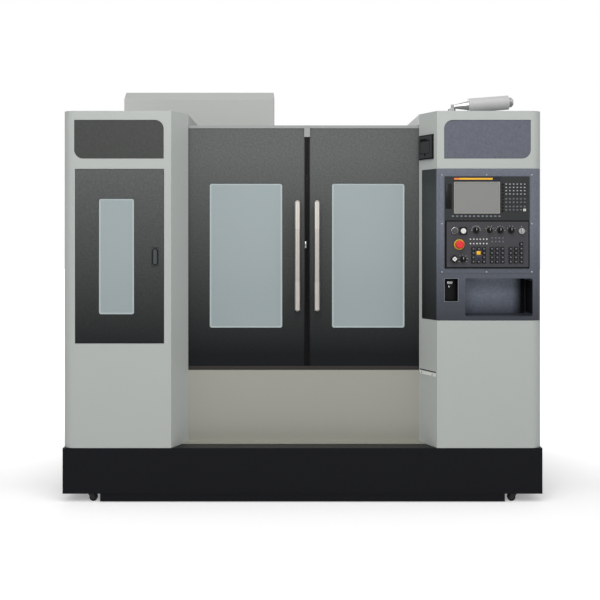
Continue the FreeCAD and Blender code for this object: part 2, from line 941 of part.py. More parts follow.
def framed_leaf(name, span, heights, face, thickness, window, window_heights):
    """A folded door: front skin, rim all round and a frame round the window."""
    wall = size.sheet
    back = face + thickness
    skin = prism(f"{name}_skin", "XZ", rectangle(*span, *heights), face, face + wall)
    outer = prism(f"{name}_outer", "XZ", rectangle(*span, *heights), face + wall, back)
    inner = prism(f"{name}_inner", "XZ",
                  rectangle(span[0] + wall, span[1] - wall, heights[0] + wall, heights[1] - wall),
                  face + wall, back + 1)
    rim = cut(f"{name}_rim", outer, inner)
    reach = size.glass_overlap + size.running_gap
    ring = window_block(f"{name}_ring", window, window_heights, reach + wall, face + wall, back)
    seat = window_block(f"{name}_seat", window, window_heights, reach, face, back + 1)
    frame = cut(f"{name}_frame", ring, seat)
    hole = prism(f"{name}_hole", "XZ", rectangle(*window, *window_heights, size.window_round),
                 face - 1, face + wall + 1)
    front = cut(f"{name}_front", skin, hole)
    return fuse(f"{name}_folded", front, rim, frame)


def window_block(name, window, heights, extra, front, back):
    """A block that stands proud of a window's outline by the extra."""
    low = (window[0] - extra, front, heights[0] - extra)
    return box(name, low, (window[1] + extra, back, heights[1] + extra))


def glass(name, window, heights, face):
    """The pane that lies behind a door's skin."""
    front = face + size.sheet
    return window_block(name, window, heights, size.glass_overlap, front, front + size.glass_thickness)


def sliding_door(name, side):
    """One sliding door with its window frame and the seal at its meeting edge."""
    edge = size.doors_meet + side * size.door_gap / 2
    far = edge + side * size.door_width
    span = ordered(edge, far)
    near = size.doors_meet + side * size.window_from_meet
    window = ordered(near, near + side * size.window_width)
    heights = (size.window_bottom, size.window_bottom + size.window_height)
    levels = (size.door_bottom, size.door_top)
    leaf = framed_leaf(name, span, levels, DOOR_FACE, size.door_thickness, window, heights)
    tip = size.doors_meet + side * size.running_gap
    ends = ordered(edge, tip)
    low = (ends[0], DOOR_FACE + 8, size.door_bottom + size.sill_lip)
    high = (ends[1], DOOR_BACK - 8, size.door_top - size.header_lip)
    seal = box(f"{name}_seal", low, high)
    node(fuse(f"{name}_door", leaf, seal), f"{name}_door")
    node(glass(f"{name}_door_glass", window, heights, DOOR_FACE), f"{name}_door_glass")
    node(door_handle(f"{name}_door_handle", side), f"{name}_door_handle")


def door_handle(name, side):
    """Round stainless bar with domed ends on two square posts."""
    centre = size.doors_meet + side * size.handle_from_meet
    line = DOOR_FACE - size.handle_standoff
    radius = size.handle_width / 2
    dome = radius * 0.4
    length = size.handle_length
    profile = [
        (0, 0), (radius - dome, 0), (radius, dome), (radius, length - dome), (radius - dome, length),
        (0, length),
    ]
    bar = turned(f"{name}_bar", profile, "z", (centre, line, size.handle_bottom))
    posts = []
    half = size.handle_post_width / 2
    for number, inset in enumerate((size.handle_post_inset, length - size.handle_post_inset)):
        height = size.handle_bottom + inset
        low = (centre - half, line, height - half)
        posts.append(box(f"{name}_post_{number}", low, (centre + half, DOOR_FACE, height + half)))
    return fuse(name, bar, *posts)


def access_door():
    """Hinged tool access door with its window and the cup of its flush latch."""
    gap = size.edge_gap
    left = LEFT + size.access_start
    span = (left + gap, left + size.access_width - gap)
    levels = (size.access_bottom + gap, size.access_bottom + size.access_height - gap)
    start = left + size.access_window_start
    window = (start, start + size.access_window_width)
    base = size.access_bottom + size.access_window_lift
    heights = (base, base + size.access_window_height)
    face = FRONT + size.access_recess
    leaf = framed_leaf("access", span, levels, face, size.access_thickness, window, heights)
    low, high = paddle_span(face, gap)
    wall = size.sheet
    cup = box("cup_block", (low[0] - wall, face + wall, low[2] - wall),
              (high[0] + wall, face + size.paddle_cup_depth + wall, high[2] + wall))
    well = box("cup_well", (low[0], face - 1, low[2]), (high[0], face + size.paddle_cup_depth, high[2]))
    node(cut("tool_access_door", fuse("access_with_cup", leaf, cup), well), "tool_access_door")
    node(glass("tool_access_window", window, heights, face), "tool_access_window")


def paddle_span(face, extra):
    """The flush latch's outline, widened by an extra all round."""
    left = LEFT + size.access_start + size.paddle_start
    bottom = size.access_bottom + size.paddle_lift
    low = (left - extra, face, bottom - extra)
    return low, (left + size.paddle_width + extra, face, bottom + size.paddle_height + extra)


def paddle_latch():
    """Flush paddle on a cross pin near its top, with its tongue behind."""
    face = FRONT + size.access_recess
    low, high = paddle_span(face, 0)
    top = high[2] - size.paddle_thickness
    back = face + size.paddle_thickness
    plate = box("paddle_plate", (low[0], face + 1, low[2]), (high[0], back, high[2]))
    spot = (low[0] - size.edge_gap + size.running_gap, face + size.paddle_thickness / 2, top)
    length = size.paddle_width + 2 * (size.edge_gap - size.running_gap)
    pin = rod("paddle_pin", "x", sized(5), spot, length)
    tongue = box("paddle_tongue", (low[0] + 10, back, top - 12), (high[0] - 10, back + 8, top))
    node(fuse("paddle_latch", plate, pin, tongue), "paddle_latch")


# ---------------------------------------------------------------- electrical cabinet


def electrical_cabinet():
    """Rear cabinet with a sloped top front, its mounting plate, drives, ducts and two bearers."""
    wall = size.sheet
    front, back = CABINET_FRONT, CABINET_BACK
    bottom, top = size.tower_bottom, size.cabinet_top
    shoulder = top - size.cabinet_slope_height
    slope = front + size.cabinet_slope_depth
    outline = [(front, bottom), (back, bottom), (back, top), (slope, top), (front, shoulder)]
    shell = prism("cabinet_shell", "YZ", outline, LEFT, CABINET_RIGHT)
    roof = top - 3 * wall
    hollow = [
        (front + wall, bottom + wall), (back + 1, bottom + wall), (back + 1, roof), (slope + wall, roof),
        (front + wall, shoulder - 2 * wall),
    ]
    inside = prism("cabinet_inside", "YZ", hollow, LEFT + wall, CABINET_RIGHT - wall)
    opened = cut("cabinet_opened", shell, inside)
    plate_front = front + size.cabinet_plate_setback
    low = (LEFT + wall, plate_front, bottom + size.plate_margin)
    high = (CABINET_RIGHT - wall, plate_front + wall, shoulder - size.plate_margin)
    pieces = [opened, box("cabinet_plate", low, high)]
    pieces += cabinet_modules(plate_front + wall, bottom, shoulder)
    cabinet = fuse("cabinet_fitted", *pieces)
    node(collect("electrical_cabinet", cabinet, *cabinet_bearers()), "electrical_cabinet")


DRIVE_SIZES = ((150, 190), (90, 170), (90, 170), (150, 190), (120, 150))


def cabinet_modules(face, bottom, top):
    """Servo drives in a row, a row of relays below, ducts between them and a transformer."""
    pieces = []
    left = LEFT + size.drive_inset
    drive_bottom = top - size.drive_drop
    for number, (width, depth) in enumerate(DRIVE_SIZES):
        high = (left + width, face + depth, drive_bottom + size.drive_height)
        pieces.append(box(f"drive_{number}", (left, face, drive_bottom), high))
        left = left + width + size.drive_gap
    duct = size.duct_size
    levels = (top - size.duct_top_drop, top - size.duct_middle_drop, bottom + size.duct_low_lift)
    for number, height in enumerate(levels):
        low = (LEFT + duct, face, height)
        pieces.append(box(f"duct_{number}", low, (CABINET_RIGHT - duct, face + duct, height + duct)))
    height = bottom + size.relay_lift
    low = (LEFT + size.drive_inset, face, height)
    high = (CABINET_RIGHT - size.relay_end, face + size.relay_depth, height + size.relay_height)
    pieces.append(box("relay_row", low, high))
    low = (LEFT + size.transformer_inset, face, bottom + size.transformer_lift)
    side = size.transformer_side
    pieces.append(box("transformer", low, (low[0] + side, face + size.transformer_depth, low[2] + side)))
    return pieces


def cabinet_bearers():
    """Two beams from the bed's rear face that carry the cabinet."""
    pieces = []
    top = size.tower_bottom
    for number in range(2):
        right = CABINET_RIGHT - size.beam_inset - number * size.beam_pitch
        low = (right - size.beam_size, BED_REAR, top - size.beam_size)
        pieces.append(box(f"bearer_{number}", low, (right, CABINET_BACK, top)))
    return pieces


def cabinet_door():
    """Rear door leaf: a folded pan with the swing handle's cup and the main switch in its recess."""
    wall = size.sheet
    gap = size.edge_gap
    low = (LEFT + gap, CABINET_BACK, size.tower_bottom + gap)
    high = (CABINET_RIGHT - gap, REAR, size.cabinet_top - gap)
    leaf = box("leaf_block", (low[0], low[1] + size.running_gap, low[2]), high)
    hollow = box("leaf_hollow", (low[0] + wall, low[1] - 1, low[2] + wall),
                 (high[0] - wall, REAR - wall, high[2] - wall))
    middle = (size.tower_bottom + size.cabinet_top) / 2
    left = high[0] - size.swing_inset
    swing = (left, left + size.swing_width, middle - size.swing_height / 2, middle + size.swing_height / 2)
    cup, well = door_cup("swing", swing)
    centre = left + size.swing_width / 2
    half = size.swing_grip_width / 2
    floor = REAR - size.swing_depth + wall
    bottom = swing[2] + size.swing_depth
    grip = box("swing_grip", (centre - half, floor, bottom),
               (centre + half, REAR - wall, bottom + size.swing_grip_height))
    left = high[0] - size.switch_inset
    bottom = middle + size.switch_lift
    side = size.switch_side
    recess, pocket = door_cup("switch", (left, left + side, bottom, bottom + side))
    across, up = left + side / 2, bottom + side / 2
    disc = rod("switch_disc", "y", size.switch_disc, (across, floor, up), 2 * wall)
    reach = size.switch_disc / 2 - wall
    knob = box("switch_knob", (across - 2 * wall, floor, up - reach),
               (across + 2 * wall, REAR - wall, up + reach))
    pan = cut("leaf_pan", leaf, hollow)
    cups = cut("leaf_cups", fuse("leaf_blank", pan, cup, recess), well, pocket)
    node(fuse("cabinet_door", cups, grip, disc, knob), "cabinet_door")


def door_cup(name, span):
    """A cup pressed into the rear door, and the cutter that opens it."""
    wall = size.sheet
    left, right, bottom, top = span
    back = REAR - size.swing_depth
    cup = box(f"{name}_cup", (left, back, bottom), (right, REAR - wall, top))
    well = box(f"{name}_well", (left + wall, back + wall, bottom + wall),
               (right - wall, REAR + 1, top - wall))
    return cup, well


# ---------------------------------------------------------------- operator station


def operator_housing():
    """Dark wrap-round housing: shell, front plate, storage niche and socket recess."""
    gap = 0.8
    low, high = size.housing_bottom + gap, size.housing_top - gap
    share, depth = size.housing_share, size.housing_depth
    wall = tower_wall("housing_wall", 1, RIGHT_CORNER, share, depth, low, high)
    reach = share * size.chamfer_depth
    floor = tower_lid("housing_floor", 1, RIGHT_CORNER, share, reach, low)
    roof = tower_lid("housing_roof", 1, RIGHT_CORNER, share, reach, high - size.sheet)
    left = RIGHT_CORNER + size.plate_inset
    plate = box("mounting_plate", (left, PLATE_FACE, size.plate_bottom),
                (left + size.plate_width, FRONT, size.plate_bottom + size.plate_height))
    niche_left = RIGHT_CORNER + size.niche_inset
    niche_span = (niche_left, niche_left + size.niche_width)
    niche_levels = (size.niche_bottom, size.niche_bottom + size.niche_height)
    niche, niche_hole = lined_recess("niche", niche_span, niche_levels, size.niche_depth, size.niche_round)
    port_left = RIGHT_CORNER + size.port_inset
    port_span = (port_left, port_left + size.port_width)
    port_levels = (size.port_bottom, size.port_bottom + size.port_height)
    port, port_hole = lined_recess("port", port_span, port_levels, size.port_depth)
    shell = fuse("housing_shell", wall, floor, roof, plate, niche, port)
    holes = [niche_hole, port_hole]
    for name, bottom, height in (("display", size.display_bottom, size.display_height),
                                 ("panel", size.panel_bottom, size.panel_height)):
        edge = size.unit_rebate - size.running_gap
        opening = rectangle(UNIT_LEFT + edge, UNIT_LEFT + size.unit_width - edge, bottom + edge,
                            bottom + height - edge)
        holes.append(prism(f"{name}_opening", "XZ", opening, FRONT - 20, FRONT + size.sheet + 10))
    node(cut("operator_housing", shell, *holes), "operator_housing")


def lined_recess(name, span, levels, depth, radius=None):
    """A recess in the housing front: its lining, and the cutter that opens it."""
    wall = size.sheet
    outer = rectangle(span[0] - wall, span[1] + wall, levels[0] - wall, levels[1] + wall)
    lining = prism(f"{name}_lining", "XZ", outer, FRONT, FRONT + depth + wall)
    opening = rectangle(*span, *levels, radius)
    return lining, prism(f"{name}_space", "XZ", opening, FRONT - 10, FRONT + depth)


def unit_blank(name, face, bottom, height):
    """The front plate of a panel unit and the box behind it."""
    left, right = UNIT_LEFT, UNIT_LEFT + size.unit_width
    edge = size.unit_rebate
    plate = box(f"{name}_plate", (left, face, bottom), (right, PLATE_FACE, bottom + height))
    rear = box(f"{name}_rear", (left + edge, PLATE_FACE, bottom + edge),
               (right - edge, FRONT + size.unit_depth, bottom + height - edge))
    return [plate, rear]


def key_block(name, face, rise, width, across, up):
    """One square key with its centre at (across, up)."""
    half = width / 2
    return box(name, (across - half, face - rise, up - half), (across + half, face, up + half))


def display_unit():
    """Screen unit with its bezel, soft keys, character keys and card slot."""
    face = DISPLAY_FACE
    left, bottom = UNIT_LEFT, size.display_bottom
    pieces = unit_blank("display", face, bottom, size.display_height)
    first_column = left + 306.5
    top_row = bottom + size.display_height - 40
    for column in range(6):
        for row in range(8):
            drop = size.small_key_row * row + (8 if row > 3 else 0) + (5 if row > 5 else 0)
            across = first_column + size.small_key_pitch * column
            pieces.append(key_block(f"letter_key_{column}_{row}", face, size.small_key_rise, size.small_key,
                                    across, top_row - drop))
    for row in range(9):
        pieces.append(key_block(f"side_key_{row}", face, size.small_key_rise, size.small_key * 0.8,
                                left + 289, top_row - size.small_key_row * row))
    for column in range(12):
        across = left + 41 + size.soft_key_pitch * column
        pieces.append(key_block(f"soft_key_{column}", face, size.small_key_rise, size.small_key,
                                across, bottom + 19.5))
    solid = fuse("display_solid", *pieces)
    screen_left = left + size.screen_inset
    screen_bottom = bottom + size.screen_lift
    screen = box("screen_pocket", (screen_left, face - 5, screen_bottom),
                 (screen_left + size.screen_width, face + 2, screen_bottom + size.screen_height))
    slot = box("card_pocket", (left + 3, face - 5, bottom + 57), (left + 35, face + 2, bottom + 182))
    node(cut("display_unit", solid, screen, slot), "display_unit")


CONTROLS = {
    "ring_button": (50, 188.5),
    "white_button": (92, 187.5),
    "selector_1": (156.5, 190),
    "selector_2": (224.5, 190),
    "selector_3": (277.5, 190),
    "selector_4": (332, 190),
    "key_switch": (383.5, 187),
    "estop_button": (73, 119.5),
    "square_button": (48, 47.5),
    "lower_selector": (91, 46),
}


BUTTONS = ("estop_button", "ring_button", "white_button", "square_button")
SELECTORS = ("selector_1", "selector_2", "selector_3", "selector_4", "lower_selector", "key_switch")


def control_spot(name):
    """Where a control's axis meets the panel face."""
    across, up = CONTROLS[name]
    return (UNIT_LEFT + across, PANEL_FACE, size.panel_bottom + up)


def machine_panel():
    """Lower panel with its key field, button collars and a bore for each control."""
    face = PANEL_FACE
    pieces = unit_blank("panel", face, size.panel_bottom, size.panel_height)
    for block, start in enumerate((142.5, 234.5, 328.5)):
        for column in range(3):
            for row in range(4):
                across = UNIT_LEFT + start + size.panel_key_pitch * column
                up = size.panel_bottom + 34.5 + size.panel_key_row * row
                pieces.append(key_block(f"field_key_{block}_{column}_{row}", face, size.panel_key_rise,
                                        size.panel_key, across, up))
    pieces.append(key_block("single_key", face, size.panel_key_rise, size.panel_key,
                            UNIT_LEFT + 382, size.panel_bottom + 122))
    pieces += [collar(name) for name in BUTTONS]
    solid = fuse("panel_solid", *pieces)
    bores = [control_bore(name) for name in CONTROLS]
    node(cut("machine_panel", solid, *bores), "machine_panel")


def collar(name):
    """The raised ring or square round a push button."""
    across, face, up = control_spot(name)
    if name in ("white_button", "square_button"):
        half = size.button_head / 2 + size.collar_rim
        low = (across - half, face - size.collar_rise, up - half)
        return box(f"{name}_collar", low, (across + half, face, up + half))
    width = size.estop_collar if name == "estop_button" else size.button_head + 2 * size.collar_rim
    return rod(f"{name}_collar", "front", width, (across, face, up), size.collar_rise)


def control_bore(name):
    """The hole that a control's square stem runs in: square for a button, round for a switch."""
    across, face, up = control_spot(name)
    start = face + size.unit_depth / 2
    if name in BUTTONS:
        half = size.stem_width / 2 + size.running_gap
        return box(f"{name}_bore", (across - half, start - size.unit_depth, up - half),
                   (across + half, start, up + half))
    width = size.stem_width * math.sqrt(2) + 2 * size.running_gap
    return rod(f"{name}_bore", "front", width, (across, start, up), size.unit_depth)


def stemmed(name, head, seat):
    """A control: its head turned about the stem's axis, and the square stem behind it."""
    across, face, up = control_spot(name)
    half = size.stem_width / 2
    knob = turned(f"{name}_head", head, "front", (across, face, up))
    stem = box(f"{name}_stem", (across - half, face - seat, up - half),
               (across + half, face + size.unit_depth / 3, up + half))
    return [knob, stem]


def push_buttons():
    """Emergency stop and the three small push buttons."""
    seat = size.collar_rise + size.running_gap + size.button_travel
    radius, top = size.estop_head / 2, size.estop_height
    skirt = size.collar_rise + seat
    head = [(0, skirt), (radius, skirt), (radius, top - radius / 3), (radius * 0.7, top), (0, top)]
    node(fuse("estop_button", *stemmed("estop_button", head, skirt)), "estop_button")
    radius, top = size.button_head / 2, size.button_height + size.button_travel
    head = [(0, seat), (radius, seat), (radius, top), (0, top)]
    for name in BUTTONS[1:]:
        node(fuse(name, *stemmed(name, head, seat)), name)


def selectors():
    """Rotary switches: a round skirt with a finger bar across it, and the key switch with its key."""
    seat = size.running_gap
    radius = size.selector_width / 2
    rise = size.selector_skirt
    head = [(0, seat), (radius, seat), (radius, seat + rise), (0, seat + rise)]
    for name in SELECTORS:
        across, face, up = control_spot(name)
        half = (size.key_blade if name == "key_switch" else size.selector_grip) / 2
        reach = radius - half / 2
        low = (across - half, face - seat - size.selector_height, up - reach)
        grip = box(f"{name}_grip", low, (across + half, face - seat - rise, up + reach))
        node(fuse(name, *stemmed(name, head, seat), grip), name)


# ---------------------------------------------------------------- lamp and socket box


LAMP_PIVOT = (
    RIGHT_CORNER + size.lamp_pivot_from_corner,
    FRONT + size.lamp_setback,
    size.tower_top + size.lamp_pivot_height,
)


def tilt_lamp(item):
    """Lay a lamp part down on its pivot, a few degrees above level."""
    item.Placement.Rotation = FreeCAD.Rotation(FreeCAD.Vector(0, 1, 0), 80)
    bind(item, "Placement.Rotation.Angle", 90 - size.lamp_tilt)
    place(item, LAMP_PIVOT)
    return item


def signal_lamp():
    """Folding lamp: foot with two ears and a pin, neck with rod and cap, and the light tube."""
    across, depth, height = LAMP_PIVOT
    half = size.lamp_foot_width / 2
    slot = size.lamp_barrel_width / 2 + size.running_gap
    base = rod("lamp_base_round", "z", size.lamp_foot_width, (across, depth, size.tower_top),
               size.lamp_pivot_height - half / 2)
    ears = box("lamp_ears", (across - half / 2, depth - half, size.tower_top + size.lamp_pivot_height / 3),
               (across + half / 2, depth + half, height + half / 2))
    gap = box("lamp_slot", (across - half - 1, depth - slot, height - half / 1.4),
              (across + half + 1, depth + slot, height + half))
    cheeks = cut("lamp_cheeks", fuse("lamp_foot", base, ears), gap)
    pin = rod("lamp_pin", "y", sized(8), (across, depth - half, height), size.lamp_foot_width)
    node(fuse("lamp_base", cheeks, pin), "lamp_base")
    start = size.lamp_neck_length
    end = start + size.lamp_tube_length
    rod_radius = size.lamp_rod / 2
    cap = size.lamp_cap_width / 2
    profile = [
        (0, 0), (size.lamp_barrel_width / 2 - 3, 0), (size.lamp_neck_end / 2, start), (rod_radius, start),
        (rod_radius, end),
        (cap, end), (cap, end + size.lamp_cap_length - cap / 3), (cap * 2 / 3, end + size.lamp_cap_length),
        (0, end + size.lamp_cap_length),
    ]
    neck = tilt_lamp(turned("lamp_neck", profile, "z", LAMP_PIVOT))
    barrel = rod("lamp_barrel", "y", size.lamp_barrel_width,
                 (across, depth - size.lamp_barrel_width / 2, height), size.lamp_barrel_width)
    bore = rod("lamp_bore", "y", sized(8.2), (across, depth - half, height), size.lamp_foot_width)
    node(cut("lamp_arm", fuse("lamp_arm_blank", neck, barrel), bore), "lamp_arm")
    radius = size.lamp_tube_width / 2
    tube = turned("lamp_tube", rectangle(rod_radius, radius, start, end), "z", LAMP_PIVOT)
    node(tilt_lamp(tube), "lamp_tube")


def socket_box():
    """Plastic socket box on the right chamfer, with its top-hinged cover."""
    flange = flap_block("flap_flange", sized(0), -size.flap_proud / 2, sized(0))
    body = flap_block("flap_body", 10, sized(0), size.flap_depth)
    room = flap_block("flap_room", 13, -size.flap_proud, size.flap_depth - size.sheet)
    frame = cut("flap_open", fuse("flap_blank", flange, body), room)
    low = (-size.flap_width / 4, size.flap_depth / 2, -size.flap_height / 5)
    high = (size.flap_width / 4, size.flap_depth - size.sheet, size.flap_height / 5)
    socket = chamfer_box("flap_socket", low, high, FLAP_ALONG, FLAP_MIDDLE)
    node(fuse("flap_frame", frame, socket), "flap_frame")
    face = -size.flap_proud / 2 - size.running_gap
    cover = flap_block("flap_plate", 6, face - size.flap_cover_thickness, face)
    finger = flap_block("flap_finger", 20, face - size.flap_cover_thickness - 1,
                        face - size.flap_cover_thickness / 2, size.flap_height - 55, 4)
    node(cut("flap_cover", cover, finger), "flap_cover")


# ---------------------------------------------------------------- castings and axes


def rail_block(name, axis, across, along, rise):
    """A block given by its spans across a rail, along it and up from the rail's seat."""
    spans = {"x": (along, across, rise), "y": (across, along, rise), "z": (across, rise, along)}[axis]
    return box(name, *zip(*spans))


def risen(axis, seat, low, high):
    """The span between two heights over a seat; the Z rails' seat faces the front."""
    return (seat - high, seat - low) if axis == "z" else (seat + low, seat + high)


def rail_pair(name, axis, spacing, start, length, middle, seat):
    """Two linear guide rails on a flat seat."""
    rails = []
    half = size.rail_width / 2
    rise = risen(axis, seat, 0, size.rail_height)
    for number, side in enumerate((-1, 1)):
        centre = middle + side * spacing / 2
        across, along = (centre - half, centre + half), (start, start + length)
        rails.append(rail_block(f"{name}_{number}", axis, across, along, rise))
    return rails


def carriage(name, axis, centre, start, seat):
    """A guide carriage: a block with a groove that straddles its rail."""
    half, end = size.carriage_width / 2, start + size.carriage_length
    groove = size.rail_width / 2 + size.running_gap
    rise = risen(axis, seat, size.carriage_lift, size.carriage_lift + size.carriage_height)
    roof = risen(axis, seat, 0, size.rail_height + size.running_gap)
    block = rail_block(name, axis, (centre - half, centre + half), (start, end), rise)
    slot = rail_block(f"{name}_groove", axis, (centre - groove, centre + groove), (start - 1, end + 1), roof)
    return cut(f"{name}_grooved", block, slot)


FOOT_ROWS = (0.12, 0.5, 0.93)


def foot_spots():
    """The six places where the bed stands on its feet."""
    reach = size.bed_width / 2 + size.flange_reach / 2
    start = BED_FRONT + size.bed_nose
    length = size.bed_length - size.bed_nose
    return [(side * reach, start + length * share) for side in (-1, 1) for share in FOOT_ROWS]


def bed_casting():
    """Bed: an upper block with nose, screw trough and Y rails, on an open frame with foot flanges."""
    half = size.bed_width / 2
    nose = BED_FRONT + size.bed_nose
    step = size.bed_top - size.bed_nose_height
    block = box("bed_block", (-half, BED_FRONT, step), (half, BED_REAR, size.bed_top))
    trough_half = size.trough_width / 2
    floor = size.bed_top - size.trough_depth
    trough = box("bed_trough", (-trough_half, BED_FRONT - 1, floor),
                 (trough_half, BED_FRONT + size.trough_length, size.bed_top + 1))
    rails = rail_pair("y_rail", "y", size.y_rail_spacing, BED_FRONT + 10, size.y_rail_length, sized(0),
                      size.bed_top)
    upper = fuse("bed_with_rails", cut("bed_with_trough", block, trough), *rails)
    wall = size.bed_wall
    cells = []
    room = (BED_REAR - nose - 4 * wall) / 3
    for number in range(3):
        start = nose + wall + number * (room + wall)
        cells.append(box(f"bed_cell_{number}", (-half + wall, start, size.bed_bottom - 1),
                         (half - wall, start + room, step + 1)))
    frame = cut("bed_frame", box("bed_frame_block", (-half, nose, size.bed_bottom), (half, BED_REAR, step)),
                *cells)
    node(collect("bed_casting", upper, frame, *foot_flanges(half, nose)), "bed_casting")


def foot_flanges(half, nose):
    """The two flanges along the bed's sides, bored for the levelling bolts."""
    width = size.foot_bolt + 2 * size.spindle_clearance
    bores = ([], [])
    for number, (across, depth) in enumerate(foot_spots()):
        spot = (across, depth, size.bed_bottom - 1)
        side = number // len(FOOT_ROWS)
        bores[side].append(rod(f"foot_bore_{number}", "z", width, spot, size.flange_height + 2))
    flanges = []
    top = size.bed_bottom + size.flange_height
    for number, side in enumerate((-1, 1)):
        ends = mirrored(side, half, half + size.flange_reach)
        low = (ends[0], nose, size.bed_bottom)
        blank = box(f"foot_flange_{number}", low, (ends[1], BED_REAR, top))
        flanges.append(cut(f"bored_flange_{number}", blank, *bores[number]))
    return flanges


def levelling_feet():
    """Six feet: a square pad, a jack bolt screwed through the bed's flange, and its lock nut."""
    feet = []
    pad, rise = size.foot_width / 2, size.foot_height
    seat = size.bed_bottom + size.flange_height
    for number, (across, depth) in enumerate(foot_spots()):
        low = (across - pad, depth - pad, 0)
        block = box(f"foot_pad_{number}", low, (across + pad, depth + pad, rise))
        jack = rod(f"foot_jack_{number}", "z", size.foot_bolt, (across, depth, rise), seat + rise)
        nut = prism(f"foot_nut_{number}", "XY", hexagon(across, depth, size.foot_nut), seat, seat + rise)
        feet.append(fuse(f"foot_{number}", block, jack, nut))
    node(collect("levelling_feet", *feet), "levelling_feet")


def hexagon(across, depth, width):
    """The outline of a nut, given the width across its flats."""
    radius = width / math.sqrt(3)
    turns = [math.pi / 3 * number for number in range(6)]
    return [(across + radius * math.cos(turn), depth + radius * math.sin(turn)) for turn in turns]


def column_casting():
    """Column that leans in at the back, with the Z rails on its front."""
    half = size.column_width / 2
    base, top = size.bed_top, size.column_top
    back = COLUMN_FACE + size.column_depth
    outline = [(COLUMN_FACE, base), (back, base), (back - size.column_lean, top), (COLUMN_FACE, top)]
    block = prism("column_block", "YZ", outline, -half, half)
    rails = rail_pair("z_rail", "z", size.z_rail_spacing, size.z_rail_bottom, size.z_rail_length, sized(0),
                      COLUMN_FACE)
    node(fuse("column_casting", block, *rails), "column_casting")


def screw_set(name, axis, spot, length, motor_low, motor_high, blocks):
    """A ball screw with its end blocks and motor."""
    pieces = [rod(f"{name}_screw", axis, size.screw_width, spot, length)]
    pieces.append(box(f"{name}_motor", motor_low, motor_high))
    for number, (low, high) in enumerate(blocks):
        pieces.append(box(f"{name}_block_{number}", low, high))
    return fuse(f"{name}_drive", *pieces)


def axis_drives():
    """Y drive in the bed trough and Z drive on the column front."""
    half = size.motor_width / 2
    height = Y_SCREW_HEIGHT
    floor = size.bed_top - size.trough_depth
    start = BED_FRONT + 5
    end = start + size.y_rail_length
    reach = size.trough_width / 2
    blocks = [((-reach, start, floor), (reach, start + 40, height + 45)),
              ((-reach, end - 40, floor), (reach, end, height + 45))]
    y_drive = screw_set("y", "y", (0, start, height), size.y_rail_length,
                        (-half, end, height - half), (half, end + 200, height + half), blocks)
    base, top = size.z_rail_bottom, size.column_top
    blocks = [((sized(-60), Z_SCREW - 26, base), (sized(60), COLUMN_FACE, base + 40)),
              ((sized(-75), Z_SCREW - 26, top - 50), (sized(75), COLUMN_FACE, top))]
    z_drive = screw_set("z", "z", (0, Z_SCREW, base), top - base,
                        (-half, Z_SCREW - half, top), (half, Z_SCREW + half, top + 135), blocks)
    node(collect("axis_drives", y_drive, z_drive), "axis_drives")


def saddle():
    """Saddle: winged casting with X rails, its own screw and motor, carriages and bellows frames."""
    half = size.saddle_width / 2
    bed_half = size.bed_width / 2
    bottom, top = size.saddle_bottom, SADDLE_TOP
    outline = [
        (-bed_half, bottom), (bed_half, bottom), (half, bottom + size.saddle_wing), (half, top),
        (-half, top), (-half, bottom + size.saddle_wing),
    ]
    back = SADDLE_FRONT + size.saddle_depth
    block = prism("saddle_block", "XZ", outline, SADDLE_FRONT, back)
    lane = size.screw_lane
    trough = box("saddle_trough", (-half - 1, SPINDLE_Y - lane, top - lane),
                 (half + 1, SPINDLE_Y + lane, top + 1))
    pieces = [cut("saddle_hollowed", block, trough)]
    pieces += rail_pair("x_rail", "x", size.x_rail_spacing, -size.x_rail_length / 2, size.x_rail_length,
                        SPINDLE_Y, top)
    for number, side in enumerate((-1, 1)):
        centre = side * size.y_rail_spacing / 2
        pieces.append(carriage(f"front_carriage_{number}", "y", centre, SADDLE_FRONT + 20, size.bed_top))
        pieces.append(carriage(f"rear_carriage_{number}", "y", centre, back - 20 - size.carriage_length,
                               size.bed_top))
    reach = size.nut_width / 2
    length = size.nut_length / 2
    nut = box("y_nut_block", (-reach, SPINDLE_Y - length, Y_SCREW_HEIGHT - reach),
              (reach, SPINDLE_Y + length, bottom))
    bore = rod("y_nut_bore", "y", size.screw_width + 2 * size.screw_clearance,
               (0, SPINDLE_Y - length - 1, Y_SCREW_HEIGHT), 2 * length + 2)
    pieces.append(cut("y_nut", nut, bore))
    pieces += x_drive(half, top)
    pieces += bellows_frames(half, top)
    node(fuse("saddle", *pieces), "saddle")


def x_drive(half, top):
    """The X screw in the saddle, its end blocks and its motor at the right."""
    height = X_SCREW_HEIGHT
    lane = size.screw_lane
    motor = size.motor_width / 2
    spot = (-half + 10, SPINDLE_Y, height)
    pieces = [rod("x_screw", "x", size.screw_width, spot, 2 * half - 20)]
    for number, left in enumerate((-half, half - 30)):
        low = (left, SPINDLE_Y - lane, top - lane)
        pieces.append(box(f"x_block_{number}", low, (left + 30, SPINDLE_Y + lane, top)))
    low = (half, SPINDLE_Y - motor, height - motor)
    pieces.append(box("x_motor", low, (half + 150, SPINDLE_Y + motor, height + motor)))
    return pieces


def bellows_frames(half, top):
    """At each end of the saddle, two arms and the frame that holds the outer end of a bellows."""
    pieces = []
    wall = size.bellows_frame
    reach = size.bellows_reach
    end = reach + size.bellows_end
    spread = size.bellows_width / 2
    front, back = SPINDLE_Y - spread, SPINDLE_Y + spread
    roof = size.bellows_top
    outline = [
        (front, top), (front, roof), (back, roof), (back, top),
        (back - wall, top), (back - wall, roof - wall), (front + wall, roof - wall), (front + wall, top),
    ]
    for name, side in (("left", -1), ("right", 1)):
        ends = mirrored(side, half, end)
        for number, edge in enumerate((front, back - wall)):
            low = (ends[0], edge, top - wall)
            pieces.append(box(f"{name}_arm_{number}", low, (ends[1], edge + wall, top)))
        pieces.append(prism(f"{name}_end_frame", "YZ", outline, *mirrored(side, reach, end)))
    return pieces


